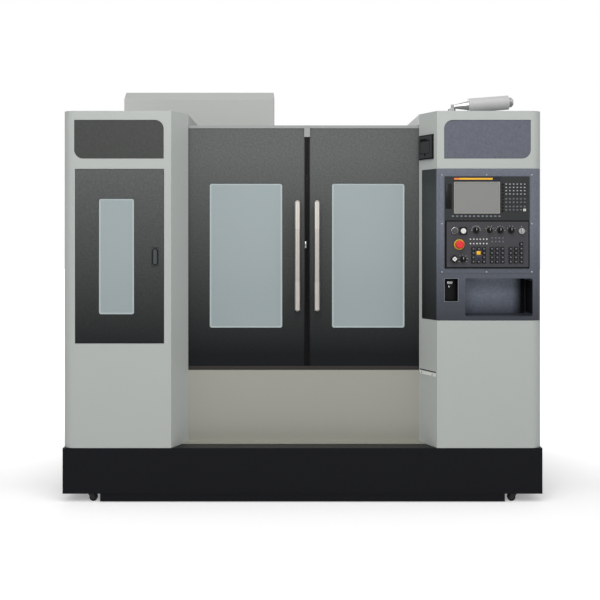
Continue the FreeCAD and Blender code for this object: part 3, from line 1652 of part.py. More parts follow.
def table():
    """Work table with its T-slots, the carriages under it and the X nut."""
    half, reach = size.table_width / 2, size.table_depth / 2
    front, back = SPINDLE_Y - reach, SPINDLE_Y + reach
    block = box("table_block", (-half, front, size.table_bottom), (half, back, TABLE_TOP))
    pieces = [tee_slots(block)]
    for number, side in enumerate((-1, 1)):
        centre = SPINDLE_Y + side * size.x_rail_spacing / 2
        for place_name, start in (("left", -half * 0.6), ("right", half * 0.6 - size.carriage_length)):
            pieces.append(carriage(f"{place_name}_table_carriage_{number}", "x", centre, start, SADDLE_TOP))
    nut = box("x_nut_block", (sized(-60), SPINDLE_Y - 40, X_SCREW_HEIGHT - 28),
              (sized(60), SPINDLE_Y + 40, size.table_bottom))
    bore = rod("x_nut_bore", "x", size.screw_width + 2 * size.screw_clearance,
               (-61, SPINDLE_Y, X_SCREW_HEIGHT), sized(122))
    pieces.append(cut("x_nut", nut, bore))
    node(fuse("table", *pieces), "table")


def tee_slots(block):
    """The table block with a row of T-shaped slots along it."""
    half = size.table_width / 2
    throat = TABLE_TOP - size.slot_throat
    floor = throat - size.slot_tee_height
    above = TABLE_TOP + 1
    narrow, wide = size.slot_width / 2, size.slot_tee_width / 2
    solid = block
    for number in range(SLOT_COUNT):
        centre = SPINDLE_Y + (number - (SLOT_COUNT - 1) / 2) * size.slot_pitch
        outline = [
            (centre - wide, floor), (centre + wide, floor), (centre + wide, throat),
            (centre + narrow, throat), (centre + narrow, above), (centre - narrow, above),
            (centre - narrow, throat), (centre - wide, throat),
        ]
        cutter = prism(f"tee_slot_{number}", "YZ", outline, -half - 1, half + 1)
        solid = cut(f"slotted_{number}", solid, cutter)
    return solid


def pleated_block(name, axis, ends, pleats, side, levels):
    """The space under a folded cover: a zigzag roof seen from the side meets a zigzag plan.

    The folds of the roof and the walls dip together, so they meet in mitred corners.
    """
    steps = 2 * pleats
    pitch = (ends[1] - ends[0]) / steps
    marks = [(ends[0] + number * pitch, size.bellows_fold * (number % 2)) for number in range(steps + 1)]
    bottom, top = levels
    roof = [(along, top - dip) for along, dip in marks[::-1]] + [(ends[0], bottom), (ends[1], bottom)]
    low_edge = [(along, side[0] + dip) for along, dip in marks]
    high_edge = [(along, side[1] - dip) for along, dip in marks[::-1]]
    plan = low_edge + high_edge
    if axis == "y":
        plan = [point[::-1] for point in plan]
    rise = prism(f"{name}_side_view", "XZ" if axis == "x" else "YZ", roof, *side)
    spread = prism(f"{name}_plan_view", "XY", plan, bottom, top)
    item = DOC.addObject("Part::Common", name)
    item.Base = rise
    item.Tool = spread
    return item


def pleated_cover(name, axis, ends, pleats, side, levels):
    """A folded cover of even cloth over three sides."""
    cloth = size.bellows_cloth
    outer = pleated_block(f"{name}_outer", axis, ends, pleats, side, levels)
    inner = pleated_block(f"{name}_inner", axis, ends, pleats, (side[0] + cloth, side[1] - cloth),
                          (levels[0] - 1, levels[1] - cloth))
    return cut(name, outer, inner)


def x_bellows():
    """Pleated covers from the table's ends to the saddle's end frames."""
    spread = size.bellows_width / 2
    sides = (SPINDLE_Y - spread, SPINDLE_Y + spread)
    levels = (SADDLE_TOP + size.bellows_lift, size.bellows_top)
    for name, side in (("x_bellows_left", -1), ("x_bellows_right", 1)):
        ends = mirrored(side, size.table_width / 2, size.bellows_reach)
        node(pleated_cover(name, "x", ends, X_PLEATS, sides, levels), name)


def y_bellows():
    """Pleated cover over the Y rails in front of the saddle."""
    spread = size.y_bellows_width / 2
    levels = (size.bed_top + size.bellows_lift, size.y_bellows_top)
    ends = (PAN_FRONT + size.sheet, SADDLE_FRONT)
    node(pleated_cover("y_bellows", "y", ends, Y_PLEATS, (-spread, spread), levels), "y_bellows")


# ---------------------------------------------------------------- spindle head


def spindle_head():
    """Head casting with its nose, spindle bore, slide plate, carriages and the Z nut."""
    half = size.head_width / 2
    front = SPINDLE_Y - size.head_front
    slide = COLUMN_FACE - size.carriage_height - size.carriage_lift
    bottom, top = size.head_bottom, HEAD_TOP
    outline = [
        (front, bottom + 60), (front + 50, bottom), (SPINDLE_Y + 160, bottom), (slide - 60, bottom + 80),
        (slide, bottom + 80), (slide, top - 60), (slide - 60, top), (front + 30, top), (front, top - 30),
    ]
    block = prism("head_block", "YZ", outline, -half, half)
    plate_half = size.z_rail_spacing / 2 + size.carriage_width / 2
    plate = box("slide_plate", (-plate_half, slide - 30, bottom + 20), (plate_half, slide, top - 60))
    nose = rod("nose_ring", "z", size.nose_width, (0, SPINDLE_Y, NOSE), size.nose_drop)
    pieces = [block, plate, nose]
    for number, side in enumerate((-1, 1)):
        centre = side * size.z_rail_spacing / 2
        pieces.append(carriage(f"low_carriage_{number}", "z", centre, bottom + 20, COLUMN_FACE))
        pieces.append(carriage(f"high_carriage_{number}", "z", centre, top - 20 - size.carriage_length,
                               COLUMN_FACE))
    nut = box("z_nut_block", (sized(-45), slide, bottom + 150), (sized(45), COLUMN_FACE - 6, bottom + 230))
    pieces.append(nut)
    solid = fuse("head_solid", *pieces)
    width = size.spindle_width + 2 * size.spindle_clearance
    bore = rod("spindle_bore", "z", width, (0, SPINDLE_Y, NOSE - 1), top - NOSE + 2)
    screw_bore = rod("z_nut_bore", "z", size.screw_width + 2 * size.screw_clearance,
                     (0, Z_SCREW, bottom + 149), sized(82))
    node(cut("spindle_head", solid, bore, screw_bore), "spindle_head")


def spindle():
    """Spindle shaft with its nose flange, taper socket, drawbar bore and two drive keys."""
    shaft = size.spindle_width / 2
    flange = size.spindle_flange / 2
    mouth = size.taper_mouth / 2
    neck = mouth - size.taper_depth * 7 / 48
    bar = size.drawbar_bore / 2
    rise = size.spindle_flange_height
    length = size.nose_drop + size.head_height - size.running_gap
    profile = [
        (mouth, 0), (flange, 0), (flange, rise), (shaft, rise), (shaft, rise + length),
        (bar, rise + length), (bar, size.taper_depth), (neck, size.taper_depth),
    ]
    base = NOSE - size.running_gap - rise
    body = turned("spindle_shaft", profile, "z", (0, SPINDLE_Y, base))
    keys = []
    for number, side in enumerate((-1, 1)):
        centre = side * (mouth + flange) / 2
        low = (centre - 10, SPINDLE_Y - 8, base - 8)
        keys.append(box(f"drive_key_{number}", low, (centre + 10, SPINDLE_Y + 8, base)))
    node(fuse("spindle", body, *keys), "spindle")


def spindle_motor():
    """Spindle motor on top of the head, with rounded corners and a fan cowl."""
    half = size.spindle_motor_width / 2
    top = HEAD_TOP + size.motor_height
    outline = rectangle(-half, half, SPINDLE_Y - half, SPINDLE_Y + half, 24)
    body = prism("motor_body", "XY", outline, HEAD_TOP, top - 50)
    cowl = rod("motor_cowl", "z", size.spindle_motor_width * 0.92, (0, SPINDLE_Y, top - 50), sized(50))
    terminal = box("motor_terminal", (sized(-50), SPINDLE_Y + half, HEAD_TOP + 60),
                   (sized(50), SPINDLE_Y + half + 45, HEAD_TOP + 150))
    node(fuse("spindle_motor", body, cowl, terminal), "spindle_motor")


# ---------------------------------------------------------------- tool changer


def magazine_frame():
    """Cam box beside the column, its side plate, and the arm that carries the tool disc."""
    side = -size.column_width / 2
    right = side - 20
    left = right - size.cam_box_width
    bottom = size.cam_box_bottom
    top = bottom + size.cam_box_height
    block = box("cam_box", (left, SPINDLE_Y - 110, bottom), (right, COLUMN_FACE, top))
    plate = box("cam_plate", (side - 45, COLUMN_FACE, bottom + 20), (side, COLUMN_FACE + 260, top - 60))
    hub_end = -size.disc_face + size.running_gap
    hub = rod("magazine_hub", "x", size.hub_width, (hub_end, SPINDLE_Y, size.magazine_height), left - hub_end)
    reach = size.disc_thickness + 20
    pin = rod("magazine_pin", "x", size.disc_pin, (hub_end - reach, SPINDLE_Y, size.magazine_height), reach)
    bore = rod("arm_bore", "z", size.arm_shaft + 0.1, (ARM_PIVOT, SPINDLE_Y, bottom - 1), sized(61))
    solid = fuse("magazine_solid", block, plate, hub, pin)
    node(cut("magazine_frame", solid, bore), "magazine_frame")


def tool_disc():
    """Tool disc: a bored plate and a ring of pots on its face, every other one with a tool."""
    bore = size.disc_pin / 2 + size.spindle_clearance
    outline = rectangle(bore, size.disc_radius, sized(0), size.disc_thickness)
    centre = (-size.disc_face, SPINDLE_Y, size.magazine_height)
    pieces = [turned("disc_plate", outline, "left", centre)]
    pot, tool = size.pot_width / 2, size.tool_width / 2
    mouth = size.pot_length
    tip = mouth + size.tool_length
    empty = [(0, 0), (pot, 0), (pot, mouth), (0, mouth)]
    loaded = [(0, 0), (pot, 0), (pot, mouth), (tool, mouth), (tool, tip), (0, tip)]
    for number in range(POT_COUNT):
        turn = 2 * math.pi * number / POT_COUNT
        profile = empty if number % 2 else loaded
        spot = (centre[0] - size.disc_thickness, centre[1] + size.pot_circle * math.cos(turn),
                centre[2] + size.pot_circle * math.sin(turn))
        pieces.append(turned(f"pot_{number}", profile, "left", spot))
    node(collect("tool_disc", *pieces), "tool_disc")


def change_arm():
    """Double-ended change arm: a bar with a round jaw at each end, and its shaft."""
    half = size.arm_width / 2
    reach = size.changer_reach
    bottom = size.arm_top - size.arm_thickness
    low, high = SPINDLE_Y - reach - size.arm_end, SPINDLE_Y + reach + size.arm_end
    outline = rectangle(ARM_PIVOT - half, ARM_PIVOT + half, low, high, 20)
    bar = prism("arm_bar", "XY", outline, bottom, size.arm_top)
    jaws = []
    for number, side in enumerate((-1, 1)):
        spot = (ARM_PIVOT, SPINDLE_Y + side * reach, bottom - 1)
        jaws.append(rod(f"jaw_{number}", "z", size.grip_width, spot, size.arm_thickness + 2))
        left = ARM_PIVOT if side < 0 else ARM_PIVOT - half - 1
        start = SPINDLE_Y + side * reach - size.grip_width / 2
        jaws.append(box(f"jaw_gap_{number}", (left, start, bottom - 1),
                        (left + half + 1, start + size.grip_width, size.arm_top + 1)))
    opened = cut("arm_opened", bar, *jaws)
    length = size.cam_box_bottom + 58 - size.arm_top
    shaft = rod("arm_shaft_rod", "z", size.arm_shaft, (ARM_PIVOT, SPINDLE_Y, size.arm_top), length)
    hub = rod("arm_hub", "z", size.arm_width + 30, (ARM_PIVOT, SPINDLE_Y, bottom), size.arm_thickness + 20)
    node(fuse("change_arm", opened, shaft, hub), "change_arm")


# ---------------------------------------------------------------- coolant tank


def coolant_tank():
    """Full-width tank: lidded front and open chip tray, on a low sump that carries the rear axle."""
    wall = size.tank_wall
    bottom, top = size.tank_bottom, size.tank_top
    back = FRONT + size.tank_depth
    body = box("tank_body", (LEFT, FRONT, bottom), (RIGHT, back, top))
    tray = box("tank_tray", (LEFT + wall, FRONT + size.tank_lid, bottom + wall),
               (RIGHT - wall, back - wall, top + 1))
    front = box("tank_front", (LEFT + wall, FRONT + wall, bottom + wall),
                (RIGHT - wall, FRONT + size.tank_lid + 1, top - wall))
    upper = cut("tank_hollow", body, tray, front)
    half = SUMP_HALF
    rear = FRONT + size.sump_depth
    sump = box("tank_sump", (-half, FRONT + wall, size.sump_bottom), (half, rear, bottom))
    axle = FRONT + size.rear_axle_setback
    height = size.caster_wheel / 2
    ears = []
    for number, side in enumerate((-1, 1)):
        ends = mirrored(side, half - 2 * wall, half)
        low = (ends[0], rear, height - size.axle_width)
        ears.append(box(f"axle_ear_{number}", low, (ends[1], axle + 1.5 * size.axle_width, bottom)))
    bore = rod("axle_bore", "x", size.axle_width + 2 * size.spindle_clearance, (-half - 1, axle, height),
               2 * half + 2)
    lower = cut("sump_bored", fuse("sump_with_ears", sump, *ears), bore)
    node(collect("coolant_tank", upper, lower), "coolant_tank")


def casters():
    """Two swivel casters at the front corners of the tank."""
    depth = FRONT + size.caster_setback
    radius = size.caster_wheel / 2
    height = radius
    tread = size.caster_tread / 2
    hole = size.axle_width / 2 + size.spindle_clearance
    plate = size.fork_plate
    outer = tread + plate + size.edge_gap / 4
    crown = size.tank_bottom - plate
    for name, side in (("left", -1), ("right", 1)):
        pivot = side * (size.machine_width / 2 - size.caster_inset)
        axle = pivot - side * size.caster_trail
        profile = rectangle(hole, radius, sized(0), 2 * tread)
        wheel = turned(f"caster_wheel_{name}", profile, "y", (axle, depth - tread, height))
        node(wheel, f"caster_wheel_{name}")
        foot, half = size.fork_foot / 2, size.fork_crown / 2
        outline = [
            (axle - foot, height - foot), (axle + foot, height - foot), (pivot + half, crown),
            (pivot - half, crown),
        ]
        pieces = []
        for number, face in enumerate((depth - outer, depth + outer - plate)):
            pieces.append(prism(f"{name}_cheek_{number}", "XZ", outline, face, face + plate))
        top = size.tank_bottom - size.running_gap
        pieces.append(box(f"{name}_crown", (pivot - half, depth - outer, crown),
                          (pivot + half, depth + outer, top)))
        pieces.append(rod(f"{name}_axle", "y", size.axle_width, (axle, depth - outer, height), 2 * outer))
        node(fuse(f"caster_fork_{name}", *pieces), f"caster_fork_{name}")


def rear_wheels():
    """One axle with a wheel at each end, at the back of the tank."""
    height = size.caster_wheel / 2
    half = SUMP_HALF + size.axle_reach
    depth = FRONT + size.rear_axle_setback
    pieces = [rod("rear_axle", "x", size.axle_width, (-half, depth, height), 2 * half)]
    for number, start in enumerate((-half, half - size.caster_tread)):
        spot = (start, depth, height)
        pieces.append(rod(f"rear_wheel_{number}", "x", size.caster_wheel, spot, size.caster_tread))
    node(fuse("rear_wheelset", *pieces), "rear_wheelset")


# ---------------------------------------------------------------- build


def build():
    """Make every sub-part."""
    left_tower()
    right_tower()
    header_plates()
    side_panels()
    back_wall()
    door_header()
    door_sill()
    apron_panel()
    splash_pan()
    sliding_door("left", -1)
    sliding_door("right", 1)
    access_door()
    paddle_latch()
    electrical_cabinet()
    cabinet_door()
    operator_housing()
    display_unit()
    machine_panel()
    push_buttons()
    selectors()
    signal_lamp()
    socket_box()
    bed_casting()
    levelling_feet()
    column_casting()
    axis_drives()
    saddle()
    table()
    x_bellows()
    y_bellows()
    spindle_head()
    spindle()
    spindle_motor()
    magazine_frame()
    tool_disc()
    change_arm()
    coolant_tank()
    casters()
    rear_wheels()


def check():
    """Stop if any object failed, or any sub-part has no valid shape."""
    failed = [item.Name for item in DOC.Objects if {"Invalid", "Error"} & set(item.State)]
    if failed:
        raise RuntimeError(f"did not build: {failed}")
    for item in NODES:
        if item.Shape.isNull() or not item.Shape.isValid() or not item.Shape.Solids:
            raise RuntimeError(f"{item.Label} has no valid solid")


def export():
    """Write each sub-part to its own file."""
    os.makedirs("parts", exist_ok=True)
    for item in NODES:
        item.Shape.exportStep(os.path.join("parts", f"{item.Label}.step"))
    print(len(NODES), "sub-parts")


build()
DOC.recompute()
check()
export()
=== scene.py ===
# %% [markdown]
# # A machining centre, dressed for a photograph
# The rigid parts come from CAD and already stand in the right place. This script gives every part
# its finish, lights the room and adds what a solid model leaves out: screws, key caps, dial marks,
# bezels, gaskets, seals, grips, ribs and folded covers. Blender counts in metres, and small pieces
# are written in millimetres. X runs to the operator's right, Y to the back and Z up.

# %% Load the frame
import bpy
import bmesh
import math
import numpy as np
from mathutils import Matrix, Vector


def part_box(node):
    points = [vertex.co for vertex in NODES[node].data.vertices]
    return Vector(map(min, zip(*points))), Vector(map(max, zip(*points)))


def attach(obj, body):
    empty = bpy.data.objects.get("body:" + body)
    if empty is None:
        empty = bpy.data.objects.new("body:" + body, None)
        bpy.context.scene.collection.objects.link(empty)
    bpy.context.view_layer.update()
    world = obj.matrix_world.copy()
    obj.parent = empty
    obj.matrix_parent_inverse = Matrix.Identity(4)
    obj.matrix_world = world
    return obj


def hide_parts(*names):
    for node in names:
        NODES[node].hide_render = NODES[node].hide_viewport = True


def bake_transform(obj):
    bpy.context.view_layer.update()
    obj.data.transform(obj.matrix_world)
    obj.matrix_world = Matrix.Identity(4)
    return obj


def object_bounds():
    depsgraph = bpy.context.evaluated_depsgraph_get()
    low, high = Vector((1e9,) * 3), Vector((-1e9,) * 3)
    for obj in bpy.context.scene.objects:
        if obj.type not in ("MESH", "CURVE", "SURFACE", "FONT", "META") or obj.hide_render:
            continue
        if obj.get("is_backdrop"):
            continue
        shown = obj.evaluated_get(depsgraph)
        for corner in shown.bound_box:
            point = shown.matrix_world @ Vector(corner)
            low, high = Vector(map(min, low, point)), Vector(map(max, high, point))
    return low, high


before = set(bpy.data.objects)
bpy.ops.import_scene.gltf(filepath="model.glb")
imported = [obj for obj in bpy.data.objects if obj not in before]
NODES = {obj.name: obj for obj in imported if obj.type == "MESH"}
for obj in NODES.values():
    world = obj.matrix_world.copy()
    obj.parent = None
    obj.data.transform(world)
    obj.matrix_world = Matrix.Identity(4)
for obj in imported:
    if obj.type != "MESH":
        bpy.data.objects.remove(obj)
cad_low, cad_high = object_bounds()
MM = 0.001
cad_size = [round(high - low, 3) for low, high in zip(cad_low, cad_high)]
print(len(NODES), "nodes in", cad_size, "m")

# %% [markdown]
# ## Camera
# The picture was taken square on, five metres in front of the towers and 1.35 m above the floor. A
# camera could be tilted until the machine fits, but then upright edges lean together. So it stays
# level, and a small shift of the sensor frames the machine. Focal length is to sensor width as the
# distance is to the width of front that fills the picture.

# %% Camera
PIXELS = 600
SENSOR_WIDTH = 36
FRONT_WIDTH, CAMERA_DISTANCE = 3.0, 5.0
CAMERA_ACROSS, CAMERA_HEIGHT = -0.0625, 1.352
CENTRE_COLUMN, CENTRE_ROW = 290, 232
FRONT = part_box("left_tower")[0][1]


def new_object(name, data):
    """An object for the data, linked into the scene."""
    thing = bpy.data.objects.new(name, data)
    bpy.context.collection.objects.link(thing)
    return thing


camera_data = bpy.data.cameras.new("camera")
camera_data.sensor_width = SENSOR_WIDTH
camera_data.lens = SENSOR_WIDTH * CAMERA_DISTANCE / FRONT_WIDTH
camera_data.shift_x = (PIXELS / 2 - CENTRE_COLUMN) / PIXELS
camera_data.shift_y = -(PIXELS / 2 - CENTRE_ROW) / PIXELS
camera = new_object("camera", camera_data)
camera.location = (CAMERA_ACROSS, FRONT - CAMERA_DISTANCE, CAMERA_HEIGHT)
camera.rotation_euler = (math.radians(90), 0, 0)
bpy.context.scene.camera = camera
bpy.context.scene.view_settings.view_transform = "Standard"
print("lens", round(camera_data.lens, 1), "mm")

# %% [markdown]
# ## Colours and finishes
# Colours are picked on screen in the everyday 0 to 255 scale, while the renderer adds light in a
# linear scale. One helper turns the first into the second.


# %% Colour helper
def colour(red, green, blue):
    """A screen colour as linear light: the dark end is a straight line, the rest a power of 2.4."""
    screen = np.array([red, green, blue]) / 255
    light = np.where(screen <= 0.04045, screen / 12.92, ((screen + 0.055) / 1.055) ** 2.4)
    return (*light.tolist(), 1.0)


print("mid grey is", round(colour(128, 128, 128)[0], 3))


# %% [markdown]
# Most of this machine is powder coated steel with a fine orange-peel skin. A scanned picture of
# paint would show seams and blur in a close view. A noise pushed into the bump input has neither.


# %% Grain
def new_material(name):
    """An empty material with its shader."""
    material = bpy.data.materials.new(name)
    material.use_nodes = True
    return material, material.node_tree, material.node_tree.nodes["Principled BSDF"]


def fill(node, values):
    """Set inputs of a node, each by its name."""
    for name, value in values.items():
        node.inputs[name].default_value = value


def add_node(tree, kind, values={}, **settings):
    """A new node of a kind, its settings made before its inputs are filled."""
    node = tree.nodes.new("ShaderNode" + kind)
    for name, value in settings.items():
        setattr(node, name, value)
    fill(node, values)
    return node


def join(tree, source, output, target, socket):
    """Link an output of one node to an input of another."""
    tree.links.new(source.outputs[output], target.inputs[socket])


def add_grain(tree, shader, size, strength, depth=0.0006):
    """Push a noise with grains of the given size, in metres, into the bump input."""
    place = add_node(tree, "TexCoord")
    noise = add_node(tree, "TexNoise", {"Scale": 1 / size, "Detail": 2})
    bump = add_node(tree, "Bump", {"Strength": strength, "Distance": depth})
    join(tree, place, "Object", noise, "Vector")
    join(tree, noise, "Fac", bump, "Height")
    join(tree, bump, "Normal", shader, "Normal")
    return noise


print("grain is ready")


# %% [markdown]
# The dark doors and the operator's plate look near black at the foot and grey at the top. Lamps
# could give that sheen, but a white room washes it out, so the sheen is painted into their tone,
# which passes from one to the other with height.


# %% Fades
def travel(tree, axis, start, end):
    """A range node that goes from 0 to 1 while a coordinate goes from start to end, in metres."""
    place = add_node(tree, "TexCoord")
    split = add_node(tree, "SeparateXYZ")
    reach = add_node(tree, "MapRange", {"From Min": start, "From Max": end})
    join(tree, place, "Object", split, "Vector")
    join(tree, split, axis, reach, "Value")
    return reach


def fade(axis, start, end, low, high):
    """A tone that passes from low to high while one coordinate goes from start to end.

    Low and high are screen colours or other fades, so one along Z can sit inside one along X.
    """
    def build(tree):
        mix = add_node(tree, "Mix", data_type="RGBA")
        set_tone(tree, mix.inputs["A"], low)
        set_tone(tree, mix.inputs["B"], high)
        reach = travel(tree, axis, start, end)
        join(tree, reach, "Result", mix, "Factor")
        return mix.outputs["Result"]
    return build


def set_tone(tree, socket, tone):
    """Give a socket a screen colour, cut to as many numbers as it holds, or link a fade."""
    if callable(tone):
        tree.links.new(tone(tree), socket)
    else:
        socket.default_value = colour(*tone)[:len(socket.default_value)]


print("fades are ready")


# %% [markdown]
# One recipe covers paint, plastic and rubber. After a colour come the roughness, the size of a
# grain in metres, its strength, how far it moves the tone where the coat is cloudy, and the shine.


# %% Coated surfaces
def mottle(tree, shader, noise, tone, spread):
    """Scale the tone by one plus or minus the spread, as the grain goes from low to high."""
    gain = add_node(tree, "MapRange", {"To Min": 1 - spread, "To Max": 1 + spread})
    scale = add_node(tree, "VectorMath", operation="SCALE")
    set_tone(tree, scale.inputs[0], tone)
    join(tree, noise, "Fac", gain, "Value")
    join(tree, gain, "Result", scale, "Scale")
    join(tree, scale, 0, shader, "Base Color")


def coated(name, tone, roughness, grain=0.002, strength=0, spread=0, shine=0.5):
    """Paint, plastic or rubber: a tone with a grain in its skin and a slight wander in tone."""
    material, tree, shader = new_material(name)
    set_tone(tree, shader.inputs["Base Color"], tone)
    fill(shader, {"Roughness": roughness, "Specular IOR Level": shine})
    if strength:
        noise = add_grain(tree, shader, grain, strength)
        if spread:
            mottle(tree, shader, noise, tone, spread)
    return material


LIGHT_PAINT = coated("light_paint", (174, 178, 175), 0.5, 0.003, 0.06, 0, 0.25)
CABINET_PAINT = coated("cabinet_paint", (194, 196, 193), 0.5, 0.003, 0.06, 0, 0.25)
# The door header strip is a darker copy of the light paint, partly its own grey and partly painted
# shade under the top.
RAIL_PAINT_AND_SHADE = coated("rail_paint_and_shade", (150, 152, 151), 0.5, 0.003, 0.06, 0, 0.25)
# Painted sheen on the doors: near black at the foot, grey at the top.
DOOR_PAINTED_SHEEN = fade("Z", 0.72, 1.75, (15, 18, 20), (91, 93, 92))
DOOR_PAINT = coated("door_paint", DOOR_PAINTED_SHEEN, 0.4, 0.01, 0.9, 0.34, 0.14)
TANK_PAINT = coated("tank_paint", (25, 26, 29), 0.35, 0.006, 0.2, 0.15, 0.06)
CASTING_PAINT = coated("casting_paint", (150, 153, 152), 0.55, 0.012, 0.3, 0.06, 0.3)
BEZEL_PLASTIC = coated("bezel_plastic", (46, 48, 49), 0.5, 0.002, 0.1, 0, 0.2)
PANEL_PLASTIC = coated("panel_plastic", (62, 62, 66), 0.35, 0.002, 0.05, 0, 0.3)
BLACK_PLASTIC = coated("black_plastic", (16, 16, 17), 0.3, 0.002, 0.03, 0, 0.2)
SILL_PAINT = coated("sill_paint", (44, 40, 38), 0.4, 0.004, 0.1, 0, 0.3)
CAP_GREY = coated("cap_grey", (62, 64, 68), 0.25, shine=0.6)
SATIN_PLASTIC = coated("satin_plastic", (34, 36, 38), 0.4, 0.002, 0.05, 0, 0.3)
FLAP_PLASTIC = coated("flap_plastic", (52, 55, 56), 0.4, 0.002, 0.05, 0, 0.3)
BELLOWS_CLOTH = coated("bellows_cloth", (34, 34, 36), 0.7, 0.002, 0.3)
RUBBER = coated("rubber", (24, 24, 24), 0.65, 0.002, 0.15, 0, 0.2)
RED_PLASTIC = coated("red_plastic", (222, 44, 48), 0.3)
YELLOW_PLASTIC = coated("yellow_plastic", (214, 176, 36), 0.4)
WHITE_PLASTIC = coated("white_plastic", (215, 215, 212), 0.35)
LAMP_LENS = coated("lamp_lens", (176, 177, 176), 0.35, shine=0.3)
print(len(bpy.data.materials), "coated finishes")


# %% [markdown]
# Bare metal shows its making: the apron is sheet brushed along one way, bars and shafts are ground
# or polished. An anisotropic shader gives the stretched glint but no lines. Noise squeezed along
# one axis gives fine lines in the bump, and the light stretches over them by itself.


# %% Bare metal
LINE_SIZE, LINE_DEPTH = 0.01, 0.0002


def bare_metal(name, tone, roughness, stretch, strength, metallic=1):
    """Metal with fine lines: noise squeezed across the lines by the stretch factors."""
    material, tree, shader = new_material(name)
    set_tone(tree, shader.inputs["Base Color"], tone)
    fill(shader, {"Metallic": metallic, "Roughness": roughness})
    noise = add_grain(tree, shader, LINE_SIZE, strength, LINE_DEPTH)
    mapping = add_node(tree, "Mapping", {"Scale": stretch})
    place = next(node for node in tree.nodes if node.type == "TEX_COORD")
    join(tree, place, "Object", mapping, "Vector")
    join(tree, mapping, "Vector", noise, "Vector")
    return material


# The brushed sheet's beige tint is painted reflection.
BRUSHED_SHEET = bare_metal("brushed_sheet", (158, 157, 148), 0.42, (0.15, 1, 8), 0.2, 0.4)
POLISHED_BAR = bare_metal("polished_bar", (196, 190, 184), 0.3, (1, 1, 0.1), 0.05)
GRIP_METAL = bare_metal("grip_metal", (205, 199, 193), 0.3, (1, 1, 0.1), 0.05)
GROUND_STEEL = bare_metal("ground_steel", (176, 178, 180), 0.3, (1, 1, 1), 0.05)
MACHINED_IRON = bare_metal("machined_iron", (150, 152, 154), 0.35, (6, 0.3, 1), 0.15)
CHROME = bare_metal("chrome_plate", (170, 170, 172), 0.15, (1, 1, 1), 0)
print("six kinds of bare metal")


# %% [markdown]
# The windows are thick safety sheet with a pale film: a cool grey field with only a hint of what is
# behind. Clear glass would show the inside and cost many light paths. A glossy coat that is nearly
# opaque does neither.


# %% Window sheet
def window_sheet(name, tone, roughness, alpha):
    """A glossy sheet that lets a little of what is behind it through."""
    material, tree, shader = new_material(name)
    set_tone(tree, shader.inputs["Base Color"], tone)
    fill(shader, {"Roughness": roughness, "Alpha": alpha})
    return material


DOOR_WINDOW = window_sheet("door_window", (154, 165, 167), 0.12, 0.95)
SCREEN_GLASS = window_sheet("screen_glass", (128, 129, 126), 0.12, 1)
print("two sheets")

# %% [markdown]
# The header plates are one CAD part, but the left one is charcoal and the right one blue-grey. The
# operator's housing is blue-grey, and its chamfer is painted darker as shade. Faces could be given
# two materials, but the CAD mesh is left alone, so the tone is a fade along X, short enough to make
# an edge. The housing darkens towards its foot with the same painted sheen as the doors, and the
# tray's wall darkens towards its foot and its end as painted shade.

# %% Header plates and housing
CHARCOAL, BLUE_GREY, EDGE_HALF = (56, 58, 56), (92, 95, 105), 0.001
HEADER_TONE = fade("X", -EDGE_HALF, EDGE_HALF, CHARCOAL, BLUE_GREY)
HEADER_PAINT = coated("header_paint", HEADER_TONE, 0.4, 0.01, 0.9, 0.28, 0.3)
# The chamfer's dark tone is painted shade, and both tones lighten with height as painted sheen.
CHAMFER_PAINTED_SHADE = fade("Z", 0.93, 1.4, (14, 15, 15), (58, 61, 62))
PLATE_PAINTED_SHEEN = fade("Z", 0.92, 1.38, (54, 57, 65), (101, 106, 117))
HOUSING_EDGE = 0.6685
HOUSING_SHEEN_AND_SHADE = fade("X", HOUSING_EDGE, HOUSING_EDGE + 2 * EDGE_HALF, CHAMFER_PAINTED_SHADE, PLATE_PAINTED_SHEEN)
HOUSING_PAINT = coated("housing_paint", HOUSING_SHEEN_AND_SHADE, 0.4, 0.01, 0.9, 0.28, 0.3)
# Painted light and shade on the tray's back wall: darker at its foot and near black at its right
# end.
WALL_PAINTED_SHADE = fade("Z", 0.93, 1.03, (76, 80, 91), (146, 153, 168))
NICHE_SHADE_FADE = fade("X", 1.08, 1.128, WALL_PAINTED_SHADE, (3, 3, 4))
NICHE_PAINTED_SHADE = coated("niche_painted_shade", NICHE_SHADE_FADE, 0.5, 0.01, 0.9, 0.28, 0.1)
print("plates, housing and niche")

# %% [markdown]
# ## Finish every part
# Each part could get its finish where it is dressed, but one table shows which parts share one.

